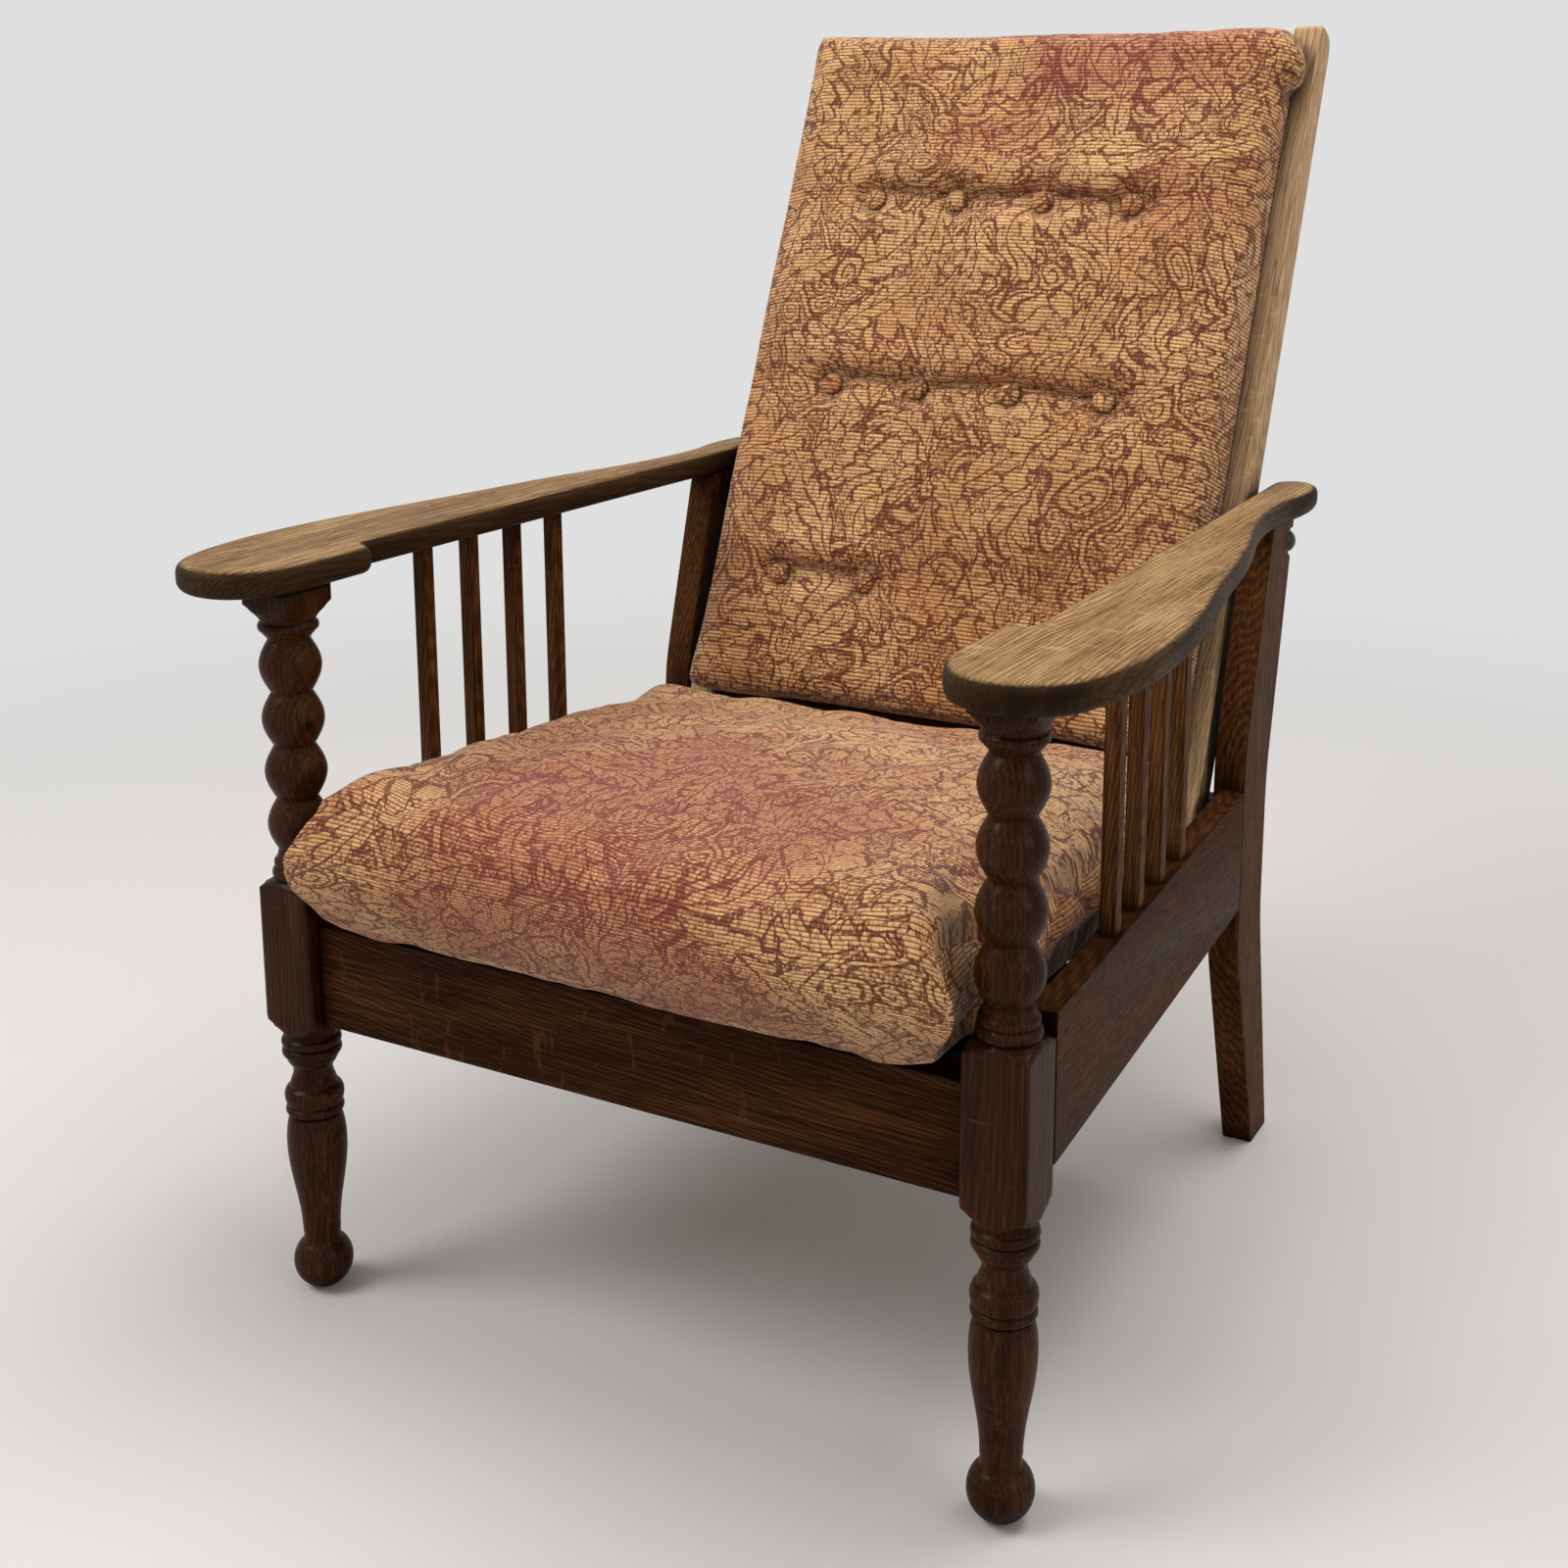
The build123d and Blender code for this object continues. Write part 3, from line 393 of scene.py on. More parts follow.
def arm_outline():
    """The right arm's edge seen from above, at even spacing."""
    wide, long = ARM_OUTER - ARM_INNER, ARM_TAIL - ARM_FRONT
    places = [((ARM_INNER + across * wide, ARM_FRONT + run * long), heading)
              for run, across, heading in ARM_STATIONS]
    step_top, step_foot = (284 * MM, 76 * MM + LEG_Y), (ARM_INNER, 50 * MM + LEG_Y)
    tail = places[-1][0]
    inner_deg = math.degrees(math.atan2(step_top[1] - tail[1], step_top[0] - tail[0]))
    places[-1] = (tail, inner_deg)
    runs = [two_arcs(*a, *b) for a, b in zip(places, places[1:])]
    runs += [np.array([tail]), two_arcs(step_top, inner_deg, step_foot, -90), np.array([step_foot])]
    line = np.vstack(runs + [runs[0][:1]])
    lengths = np.concatenate([[0], np.cumsum(np.hypot(*np.diff(line, axis=0).T))])
    keep = np.concatenate([[True], np.diff(lengths) > 1e-7])
    even = np.linspace(0, lengths[-1], 561)[:-1]
    return np.stack([np.interp(even, lengths[keep], line[keep, i]) for i in (0, 1)], 1)


def inset(line, reach):
    ahead, behind = np.roll(line, -1, 0), np.roll(line, 1, 0)
    way = ahead - behind
    way /= np.hypot(way[:, 0], way[:, 1])[:, None]
    return line + reach * np.stack([-way[:, 1], way[:, 0]], 1)


def arm_board(name, side, node, material):
    line = arm_outline()
    area = np.sum(line[:, 0] * np.roll(line[:, 1], -1) - np.roll(line[:, 0], -1) * line[:, 1])
    line = line if area > 0 else line[::-1]
    levels = []
    for turn in np.linspace(0, math.pi / 2, 8):
        levels.append((ARM_ROUNDING * (1 - math.sin(turn)), ARM_LOW + ARM_ROUNDING * (1 - math.cos(turn))))
    levels += [(inset_by, ARM_LOW + ARM_TOP - z) for inset_by, z in reversed(levels)]
    levels = [(ARM_ROUNDING + 5 * MM, ARM_LOW)] + levels + [(ARM_ROUNDING + 5 * MM, ARM_TOP)]
    points = []
    for reach, z in levels:
        for x, y in inset(line, reach):
            points.append((side * x, y, z))
    faces = tube_faces(len(levels), len(line))
    if side < 0:
        faces = [tuple(reversed(face)) for face in faces]
    board = new_piece(name, points, faces, material)
    take_over(board, node, "frame")


ARM_DARK, ARM_MID, ARM_LIGHT = (0.055, 0.026, 0.0115), (0.25, 0.142, 0.062), (0.47, 0.315, 0.16)
arm_board("shaped_arm_right", 1, "arm_right",
          oak("worn_arm_oak_right", "y", ARM_DARK, ARM_MID, ARM_LIGHT, dull=0.5, edge=0.85, figure=1.25,
              pith=(-0.31, -0.66), edge_grime_and_shade=0.92))
arm_board("shaped_arm_left", -1, "arm_left",
          oak("worn_arm_oak_left", "y", ARM_DARK, shade(ARM_MID, 0.85), ARM_LIGHT, dull=0.5,
              edge=0.85, figure=1.25, pith=(0.33, -0.64), edge_grime_and_shade=0.92))

# Seat deck: two sloping bearers fixed inside the rails and six plain laths across them, of sawn
# oak that was never stained.

DECK_DARK, DECK_MID, DECK_LIGHT = (0.11, 0.06, 0.028), (0.24, 0.14, 0.07), (0.36, 0.23, 0.13)
lath_oak = oak("plain_lath_oak", "x", DECK_DARK, DECK_MID, DECK_LIGHT, dull=0.65)
bearer_oak = oak("plain_bearer_oak", "y", DECK_DARK, DECK_MID, DECK_LIGHT, dull=0.65)
for number in range(1, 7):
    finish_node(f"seat_lath_{number}", lath_oak, 0.6 * MM)
for hand in ("left", "right"):
    finish_node(f"seat_bearer_{hand}", bearer_oak, 0.6 * MM)

# Back frame: two stiles with rounded heads, a rail at each end and five slats between them, hung on
# hinges so that it leans. The stiles' faces have dried out to a pale brown between dark edges.

SLOPE = math.radians(23.3)
HINGE_Y, HINGE_Z = 162.96555 * MM, 347 * MM
stile_oak = oak("stile_oak", "slope", (0.15, 0.080, 0.036), (0.52, 0.335, 0.18), (0.68, 0.49, 0.29),
                dull=0.5, edge=0.85, lean=SLOPE)
back_slat_oak = oak("back_slat_oak", "x", RAIL_DARK, (0.115, 0.05, 0.02), (0.22, 0.11, 0.047), dull=0.5)
for hand in ("left", "right"):
    finish_node(f"back_stile_{hand}", stile_oak, 1.0 * MM)
for crossbar in ("back_bottom_rail", "back_top_rail", *(f"back_slat_{number}" for number in range(1, 6))):
    finish_node(crossbar, back_slat_oak, 1.0 * MM)


def on_back(x, n, t):
    """A place on the leaning back: x across, n rearward, t up the slope."""
    return (x, HINGE_Y + n * math.cos(SLOPE) + t * math.sin(SLOPE),
            HINGE_Z - n * math.sin(SLOPE) + t * math.cos(SLOPE))


# Hinges: two pressed steel butts with their pins, which join the foot of the back to the rear rail.
# Each leaf is held by three slotted screws, and the steel has gone dull and a little rusty.

hinge = Finish("dull_hinge_steel")
place = hinge.node("ShaderNodeTexCoord").outputs["Object"]
stain = hinge.noise(place, 180, 4)
rusted = hinge.blend(hinge.soft(stain, 0.4, 0.7), (0.30, 0.29, 0.27), (0.13, 0.085, 0.05))
hinge_steel = hinge.dress(Base_Color=rusted, Metallic=0.9, Normal=hinge.bump(stain, 0.0002),
                          Roughness=hinge.times_plus(stain, 0.35, 0.28))
for node in ("hinge_leaves_fixed", "hinge_leaves_moving", "hinge_pins"):
    finish_node(node, hinge_steel)

SCREW_RADIUS, SCREW_RISE, SCREW_BED, SLOT_HALF = 3.5 * MM, 0.9 * MM, 0.4 * MM, 0.45 * MM


def screws(name, places, material, body):
    """Slotted round-headed screws, each a place and the way that its head faces."""
    points, faces = [], []
    for middle, facing in places:
        facing = np.array(facing, float) / np.linalg.norm(facing)
        side = np.cross(facing, (0.36, 0.48, 0.8))
        side /= np.linalg.norm(side)
        other = np.cross(facing, side)
        for sign in (-1, 1):
            first = len(points)
            edge = math.acos(SLOT_HALF / SCREW_RADIUS)
            arc = [(SCREW_RADIUS * math.sin(a), sign * SCREW_RADIUS * math.cos(a))
                   for a in np.linspace(-edge, edge, 13)]
            for level, share in ((-SCREW_BED, 1.0), (0.45 * SCREW_RISE, 1.0), (SCREW_RISE, 0.72)):
                for a, b in arc:
                    inward = max(abs(b) * share, SLOT_HALF)
                    out = side * a * share + other * sign * inward
                    points.append(np.array(middle) + out + facing * level)
            count = len(arc)
            half = tube_faces(3, count)
            half = half if sign < 0 else [tuple(reversed(face)) for face in half]
            faces += [tuple(first + i for i in face) for face in half]
        first = len(points)
        for level in (-SCREW_BED, 0.15 * SCREW_RISE):
            for a in np.linspace(0, 2 * math.pi, 25)[:-1]:
                out = side * math.cos(a) + other * math.sin(a)
                points.append(np.array(middle) + SCREW_RADIUS * 0.97 * out + facing * level)
        faces += [tuple(first + i for i in face) for face in tube_faces(2, 24)]
    piece = new_piece(name, points, faces, material, smooth=False)
    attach(piece, body)


HINGE_SCREWS = [sign * x * MM for sign in (-1, 1) for x in (143.67, 165, 186.33)]
HINGE_SCREW_REACH = 11.65 * MM
screws("hinge_screws_fixed",
       [((x, HINGE_Y + HINGE_SCREW_REACH, HINGE_Z + 1 * MM), (0, 0, 1)) for x in HINGE_SCREWS],
       hinge_steel, "frame")
REARWARD = (0, math.cos(SLOPE), -math.sin(SLOPE))
screws("hinge_screws_moving", [(on_back(x, 1 * MM, HINGE_SCREW_REACH), REARWARD) for x in HINGE_SCREWS],
       hinge_steel, "back")

# Recline hardware: an iron rod across the back with a ball on each end, resting in notched racks
# under the arm tails. All is japanned black, and the black has gone brown in places.

iron = Finish("black_japanned_iron")
place = iron.node("ShaderNodeTexCoord").outputs["Object"]
grit = iron.noise(place, 420, 3)
rub = iron.soft(iron.noise(place, 60, 4), 0.6, 0.75)
rubbed = iron.blend(iron.times(rub, 0.5), (0.012, 0.011, 0.011), (0.07, 0.05, 0.035))
black_iron = iron.dress(Base_Color=rubbed, Metallic=0.25, Normal=iron.bump(grit, 0.00015),
                        Roughness=iron.times_plus(grit, 0.3, 0.2))
for node in ("support_rod", "rod_rack_left", "rod_rack_right"):
    finish_node(node, black_iron, 0.3 * MM)

BALL, BALL_X = 11, 291 * MM
ROD_Y, ROD_Z = 262.67139 * MM, 566 * MM


def turned_balls(name, material):
    """Both knobs, their profile in mm: a short neck towards the rod, a ball and a small flat outer end."""
    points, faces = [], []
    profile = [(-12.6, 5.6), (-12.4, 6.3), (-10.8, 6.5), (-9.6, 5.9)]
    profile += [(-BALL * math.cos(a), BALL * math.sin(a)) for a in np.linspace(0.62, math.pi - 0.28, 30)]
    profile += [(10.75, 2.2), (10.5, 1.6)]
    for side in (-1, 1):
        first = len(points)
        for run, radius in profile:
            for a in np.linspace(0, 2 * math.pi, 41)[:-1]:
                points.append((side * (BALL_X + run * MM), ROD_Y + radius * MM * math.cos(a) * side,
                               ROD_Z + radius * MM * math.sin(a)))
        faces += [tuple(first + i for i in face) for face in tube_faces(len(profile), 40)]
    balls = new_piece(name, points, faces, material)
    take_over(balls, "rod_balls", "rod")


turned_balls("rod_end_balls", black_iron)
RACK_PLATE, RACK_FLANGE = 267.5 * MM, 280.7 * MM
plate_screws = [((side * RACK_PLATE, 596 * MM + LEG_Y, z * MM), (-side, 0, 0))
                for side in (-1, 1) for z in (581, 564)]
flange_screws = [((side * RACK_FLANGE, y * MM + LEG_Y, 585.8 * MM), (0, 0, -1))
                 for side in (-1, 1) for y in (654, 676)]
screws("rack_screws", plate_screws + flange_screws, black_iron, "frame")

# Seat cushion: a sprung pad in a loose cover of ribbed chenille. One panel runs over the top and the
# rounded front, and a gusset is sewn in on each side, so its corners pull the front in.

CLOTH_RUST, CLOTH_WINE = (0.170, 0.046, 0.019), (0.22, 0.047, 0.030)
CLOTH_GOLD, CLOTH_PALE, CLOTH_PINK = (0.60, 0.28, 0.102), (0.78, 0.46, 0.205), (0.50, 0.19, 0.100)
RIB = 3.6 * MM


def motif_place(cloth, place, pitch, offset, loose=0.85):
    """Cells of about one pitch. Returns each one's own flat place, polar place and chance numbers."""
    moved = cloth.along("ADD", place, offset)
    cell = cloth.node("ShaderNodeTexVoronoi", {"Vector": moved, "Scale": 1 / pitch, "Randomness": loose},
                      voronoi_dimensions="2D")
    own = cloth.along("SUBTRACT", moved, cell.outputs["Position"])
    chance = cloth.node("ShaderNodeSeparateColor", (cell.outputs["Color"],)).outputs
    own = cloth.node("ShaderNodeVectorRotate",
                     {"Vector": own, "Angle": cloth.times(chance[0], 2 * math.pi)},
                     rotation_type="Z_AXIS").outputs[0]
    parts = cloth.node("ShaderNodeSeparateXYZ", (own,)).outputs
    reach = cloth.measure("LENGTH", own)
    turn = cloth.calc("ARCTAN2", parts[1], parts[0])
    return parts[0], parts[1], reach, turn, chance


def thin_line(cloth, value, half, soft):
    """1 where value is within half of zero."""
    return cloth.soft(cloth.size_of(value), half + soft, half)


def most_of(cloth, *values):
    highest = values[0]
    for value in values[1:]:
        highest = cloth.calc("MAXIMUM", highest, value)
    return highest


def blossom(cloth, place, pitch, offset, size, petals):
    """An open flower, its petals ruffled, veined and swept round a small heart."""
    _, _, reach, turn, chance = motif_place(cloth, place, pitch, offset)
    size = cloth.times_plus(chance[1], 0.45 * size, 0.62 * size)
    share = cloth.calc("DIVIDE", reach, size)
    swept = cloth.times_plus(share, cloth.times_plus(chance[2], 1.6, -0.8), turn)
    lobe = cloth.size_of(cloth.calc("COSINE", cloth.times(swept, petals / 2)))
    ruffle = cloth.calc("COSINE", cloth.times(swept, petals * 3.0))
    outer = cloth.times_plus(cloth.calc("POWER", lobe, 0.7), 0.5, 0.5)
    outer = cloth.times_plus(ruffle, 0.035, outer)
    edge = cloth.times(size, cloth.less(outer, share))
    split = thin_line(cloth, cloth.times(lobe, reach), 0.0011, 0.0008)
    vein = cloth.times(cloth.calc("SINE", cloth.times(swept, petals * 2.5)), reach)
    vein = cloth.times(thin_line(cloth, vein, 0.0016, 0.0016), cloth.soft(share, 0.36, 0.5))
    between = cloth.size_of(cloth.calc("SINE", cloth.times(swept, petals / 2)))
    heart = cloth.less(share, cloth.times_plus(between, 0.2, 0.22))
    heart = thin_line(cloth, cloth.times(heart, size), 0.0008, 0.0008)
    lines = most_of(cloth, thin_line(cloth, edge, 0.001, 0.0008), cloth.times(split, 0.9), heart,
                    cloth.times(vein, 0.5))
    return cloth.soft(edge, 0.0, 0.0008), lines, cloth.soft(edge, -0.0034, -0.0018)


def acanthus(cloth, place, pitch, offset, length, width, lobes):
    """A bent leaf with lobes that point forward, a midrib and a vein to each lobe."""
    x, y, _, _, chance = motif_place(cloth, place, pitch, offset)
    bend = cloth.times_plus(chance[1], 22.0, -11.0)
    y = cloth.less(y, cloth.times(cloth.times(x, x), bend))
    side = cloth.size_of(y)
    share = cloth.calc("DIVIDE", x, length)
    left = cloth.calc("MAXIMUM", cloth.less(1.0, cloth.times(share, share)), 0.0)
    slant = cloth.less(share, cloth.times(side, 0.9 / length))
    lobe = cloth.size_of(cloth.calc("SINE", cloth.times(slant, lobes)))
    half = cloth.times(cloth.calc("POWER", left, 0.6),
                      cloth.times_plus(cloth.calc("POWER", lobe, 0.6), 0.55 * width, 0.45 * width))
    edge = cloth.less(half, side)
    vein = cloth.size_of(cloth.calc("COSINE", cloth.times(slant, lobes)))
    vein = cloth.times(cloth.soft(vein, 0.3, 0.1), cloth.soft(edge, 0.0015, 0.004))
    notch = cloth.times(cloth.soft(lobe, 0.26, 0.1), cloth.soft(side, 0.1 * width, 0.3 * width))
    rib = thin_line(cloth, y, 0.0007, 0.0008)
    lines = most_of(cloth, thin_line(cloth, edge, 0.001, 0.0008), rib, cloth.times(vein, 0.55),
                    cloth.times(notch, 0.8))
    return cloth.soft(edge, 0.0, 0.0008), lines, cloth.soft(edge, -0.0034, -0.0018)


def stem(cloth, place, scale, offset, half):
    """Stems that wander over the whole cloth."""
    way = cloth.node("ShaderNodeTexNoise", {"Vector": cloth.along("ADD", place, offset), "Scale": scale,
                                            "Detail": 0.0}).outputs[0]
    edge = cloth.less(half, cloth.size_of(cloth.less(way, 0.5)))
    return (cloth.soft(edge, 0.0, 0.2 * half), thin_line(cloth, edge, 0.22 * half, 0.2 * half),
            cloth.soft(edge, -0.9 * half, -0.5 * half))


def spiral(cloth, place, pitch, offset, size, wind):
    _, _, reach, turn, chance = motif_place(cloth, place, pitch, offset, 0.95)
    size = cloth.times_plus(chance[1], 0.5 * size, 0.6 * size)
    wound = cloth.times_plus(turn, 1 / (2 * math.pi), cloth.calc("DIVIDE", reach, wind))
    band = cloth.size_of(cloth.less(cloth.calc("FRACT", wound), 0.5))
    edge = cloth.less(size, reach)
    lines = most_of(cloth, cloth.soft(band, 0.22, 0.1), thin_line(cloth, edge, 0.0008, 0.0008))
    return cloth.soft(edge, 0.0, 0.0008), lines, cloth.soft(edge, -0.002, -0.001)


def chenille(name, redder):
    """Ribbed chenille with a dense scroll of flowers and leaves, gold on rust, woven row by row.
    redder says where the cover keeps more red: a place, and how far that reaches."""
    cloth = Finish(name)
    flat = cloth.node("ShaderNodeUVMap", uv_map="cloth").outputs[0]
    parts = cloth.node("ShaderNodeSeparateXYZ", (flat,)).outputs
    row = cloth.calc("DIVIDE", parts[1], RIB)
    number = cloth.calc("FLOOR", row)
    within = cloth.less(cloth.calc("FRACT", row), 0.5)
    fray = cloth.node("ShaderNodeTexWhiteNoise", {"W": number}, noise_dimensions="1D").outputs["Value"]
    across = cloth.times_plus(fray, 0.0009, parts[0])
    upright = cloth.times(cloth.calc("ADD", cloth.times_plus(within, 0.8, 0.5), number), RIB)
    place = cloth.node("ShaderNodeCombineXYZ", (across, upright, 0.0)).outputs[0]
    for scale, reach in ((9.0, 0.070), (38.0, 0.011), (120.0, 0.0035)):
        drift = {"Vector": place, "Scale": scale, "Detail": 1.0}
        warp = cloth.node("ShaderNodeTexNoise", drift).outputs["Color"]
        warp = cloth.along("MULTIPLY", cloth.along("SUBTRACT", warp, (0.5, 0.5, 0.5)), (reach, reach, 0.0))
        place = cloth.along("ADD", place, warp)
    speckle = cloth.soft(cloth.noise(place, 330, 2, 0.6), 0.4, 0.6)
    clump = cloth.soft(cloth.noise(place, 75, 2, 0.6), 0.38, 0.62)
    figure = cloth.times_plus(speckle, 0.5, cloth.times_plus(clump, 0.22, 0.18))
    layers = (
        spiral(cloth, place, 0.031, (0.31, 0.12, 0), 0.014, 0.0056),
        stem(cloth, place, 13.0, (0.6, 0.4, 0), 0.028),
        blossom(cloth, place, 0.155, (0.83, 0.17, 0), 0.047, 7),
        acanthus(cloth, place, 0.098, (0.93, 0.61, 0), 0.056, 0.024, 7.5),
        spiral(cloth, place, 0.083, (0.71, 0.52, 0), 0.017, 0.0074),
        acanthus(cloth, place, 0.074, (0.53, 0.21, 0), 0.044, 0.0165, 6.5),
        blossom(cloth, place, 0.118, (0.27, 0.43, 0), 0.033, 5),
    )
    broken = cloth.times_plus(cloth.noise(place, 60, 2, 0.6), 0.9, 0.34)
    for inside, lines, near in layers:
        figure = cloth.times(figure, cloth.less(1.0, cloth.times(near, 0.38)))
        filled = cloth.times(inside, cloth.times_plus(clump, 0.2, 0.72))
        figure = cloth.calc("MAXIMUM", figure, filled)
        cut = cloth.times(cloth.times(lines, near), broken)
        figure = cloth.times(figure, cloth.less(1.0, cloth.calc("MINIMUM", cut, 0.95)))
    yarn_place = cloth.node("ShaderNodeCombineXYZ", (cloth.times(parts[0], 470.0),
                                                     cloth.times(number, 3.7), 0.0)).outputs[0]
    yarn = cloth.noise(yarn_place, 1.0, 3.0, 0.75)
    fade = cloth.noise(flat, 6.0, 3.0, 0.55)
    spots = cloth.node("ShaderNodeTexCoord").outputs["Object"]
    middle, reach = redder
    away = cloth.measure("DISTANCE", spots, middle)
    away = cloth.times_plus(cloth.less(fade, 0.5), 0.5, away)
    red = cloth.soft(away, reach, 0.2 * reach)
    ground = cloth.blend(red, CLOTH_RUST, CLOTH_WINE)
    gold = cloth.blend(cloth.soft(fade, 0.32, 0.68), CLOTH_GOLD, CLOTH_PALE)
    gold = cloth.blend(cloth.times(red, 0.7), gold, CLOTH_PINK)
    share = cloth.times_plus(cloth.less(yarn, 0.5), 3.0, figure)
    share = cloth.less(share, cloth.times(red, 0.1))
    color = cloth.blend(cloth.soft(share, 0.04, 0.98), ground, gold)
    glint = cloth.times(cloth.soft(yarn, 0.55, 0.72), 0.5)
    color = cloth.blend(glint, color, shade(CLOTH_PALE, 1.3))
    ridge = cloth.less(1.0, cloth.size_of(cloth.times(within, 2.0)))
    # Painted shade: the colour darkens in the grooves between the ribs.
    groove_shade = cloth.times(cloth.soft(ridge, 0.5, 0.02), 0.8)
    color = cloth.blend(groove_shade, color, shade(CLOTH_RUST, 0.3))
    # Painted shade: the cloth darkens where other surfaces are near, in its creases, dimples and against the
    # frame.
    open_sky = cloth.node("ShaderNodeAmbientOcclusion", {"Distance": 0.03}, samples=4)
    shade_in_nooks = cloth.soft(open_sky.outputs["AO"], 0.9, 0.3)
    color = cloth.blend(cloth.times(shade_in_nooks, 0.5), color, shade(CLOTH_RUST, 0.3))
    height = cloth.calc("ADD", cloth.calc("POWER", ridge, 0.5), cloth.times(yarn, 0.8))
    height = cloth.calc("ADD", height, cloth.times(figure, 0.5))
    return cloth.dress(Base_Color=color, Roughness=0.86, Sheen_Weight=0.25, Sheen_Roughness=0.4,
                       Specular_IOR_Level=0.2, Normal=cloth.bump(height, 0.0008))


def mesh_arrays(mesh):
    points = np.empty(len(mesh.vertices) * 3)
    mesh.vertices.foreach_get("co", points)
    normals = np.empty(len(mesh.vertices) * 3)
    mesh.vertices.foreach_get("normal", normals)
    return points.reshape(-1, 3), normals.reshape(-1, 3)


def set_points(mesh, points):
    mesh.vertices.foreach_set("co", points.astype(np.float32).ravel())
    mesh.update()


def applied(piece):
    """Swaps the piece's mesh for what its modifiers make of it."""
    graph = bpy.context.evaluated_depsgraph_get()
    graph.update()
    made = bpy.data.meshes.new_from_object(piece.evaluated_get(graph))
    piece.modifiers.clear()
    piece.data = made
    return made


COVER_VOXEL = 5.5 * MM
FILLING_PRESSURE, FILLING_FRAMES = 4, 20


def stuffed(name, node, taken_in, most):
    """A cover cut to lie inside the CAD form by taken_in, then filled: it swells under pressure, but by no
    more than most."""
    piece = bpy.data.objects.new(name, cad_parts[node].data.copy())
    piece.data.materials.clear()
    bpy.context.scene.collection.objects.link(piece)
    piece.modifiers.new("joined", "WELD").merge_threshold = 1e-5
    skin = piece.modifiers.new("skin", "REMESH")
    skin.mode = "VOXEL"
    skin.voxel_size = COVER_VOXEL
    even = piece.modifiers.new("even", "SMOOTH")
    even.factor, even.iterations = 0.5, 4
    mesh = applied(piece)
    before, normals = mesh_arrays(mesh)
    before = before - normals * taken_in
    set_points(mesh, before)
    filling = piece.modifiers.new("filling", "CLOTH")
    cover = filling.settings
    cover.quality = 5
    cover.mass = 0.3
    cover.tension_stiffness = cover.compression_stiffness = 14
    cover.shear_stiffness = 6
    cover.bending_stiffness = 0.6
    cover.use_pressure = True
    cover.uniform_pressure_force = FILLING_PRESSURE
    cover.effector_weights.gravity = 0
    filling.point_cache.frame_start, filling.point_cache.frame_end = 1, FILLING_FRAMES
    for number in range(1, FILLING_FRAMES + 1):
        bpy.context.scene.frame_set(number)
    mesh = applied(piece)
    bpy.context.scene.frame_set(1)
    after, normals = mesh_arrays(mesh)
    way = after - before
    length = np.linalg.norm(way, axis=1)
    after = before + way * (np.minimum(length, most) / np.maximum(length, 1e-9))[:, None]
    set_points(mesh, after)
    piece.modifiers.new("fine", "SUBSURF").levels = 1
    applied(piece)
    return piece


def bell(value, width):
    return np.exp(-(value / width) ** 2)


def eased(value):
    """Rises softly from 0 to 1."""
    share = np.clip(value, 0, 1)
    return share * share * (3 - 2 * share)


def lay_pattern(piece, panels):
    """Gives each face a flat place on the cloth. panels takes points, with the normal and the middle of the
    face that each belongs to, and gives u and v."""
    mesh = piece.data
    layer = mesh.uv_layers.new(name="cloth")
    points, _ = mesh_arrays(mesh)
    corners = np.empty(len(mesh.loops), np.int32)
    mesh.loops.foreach_get("vertex_index", corners)
    starts = np.empty(len(mesh.polygons), np.int32)
    mesh.polygons.foreach_get("loop_start", starts)
    counts = np.empty(len(mesh.polygons), np.int32)
    mesh.polygons.foreach_get("loop_total", counts)
    facing = np.empty(len(mesh.polygons) * 3)
    mesh.polygons.foreach_get("normal", facing)
    facing = np.repeat(facing.reshape(-1, 3), counts, axis=0)
    middles = np.add.reduceat(points[corners], starts, axis=0) / counts[:, None]
    middles = np.repeat(middles, counts, axis=0)
    layer.data.foreach_set("uv", panels(points[corners], facing, middles).astype(np.float32).ravel())
    mesh.update()


SEAT_HALF = 271 * MM
SEAT_NOSE_Y = -62 * MM + LEG_Y
SEAT_SEAM = 262 * MM
NOSE_ROUND = 55 * MM
LEG_GAP_HALF = 276.5 * MM
RAIL_INNER, RAIL_TAPER, RAIL_CLEARANCE = 305 * MM, 0.0558, 2.5 * MM


def seat_panels(points, facing, middles):
    x, y, z = points.T
    u, v = x.copy(), y.copy()
    side = np.abs(middles[:, 0]) > SEAT_SEAM
    past_round = SEAT_NOSE_Y + NOSE_ROUND - y
    front = (past_round > 0) & ~side
    turn = np.arctan2(np.maximum(past_round, 0), np.maximum(z - 0.36, -0.06))
    v[front] = (SEAT_NOSE_Y + NOSE_ROUND - 0.075 * turn)[front]
    u[side] = (y + 0.9 * np.abs(x))[side] + 0.37
    v[side] = (z - 0.9 * (np.abs(x) - SEAT_SEAM))[side] + 0.21
    under = facing[:, 2] < -0.6
    v[under] = y[under] - 0.6
    return np.stack([u, v], 1)


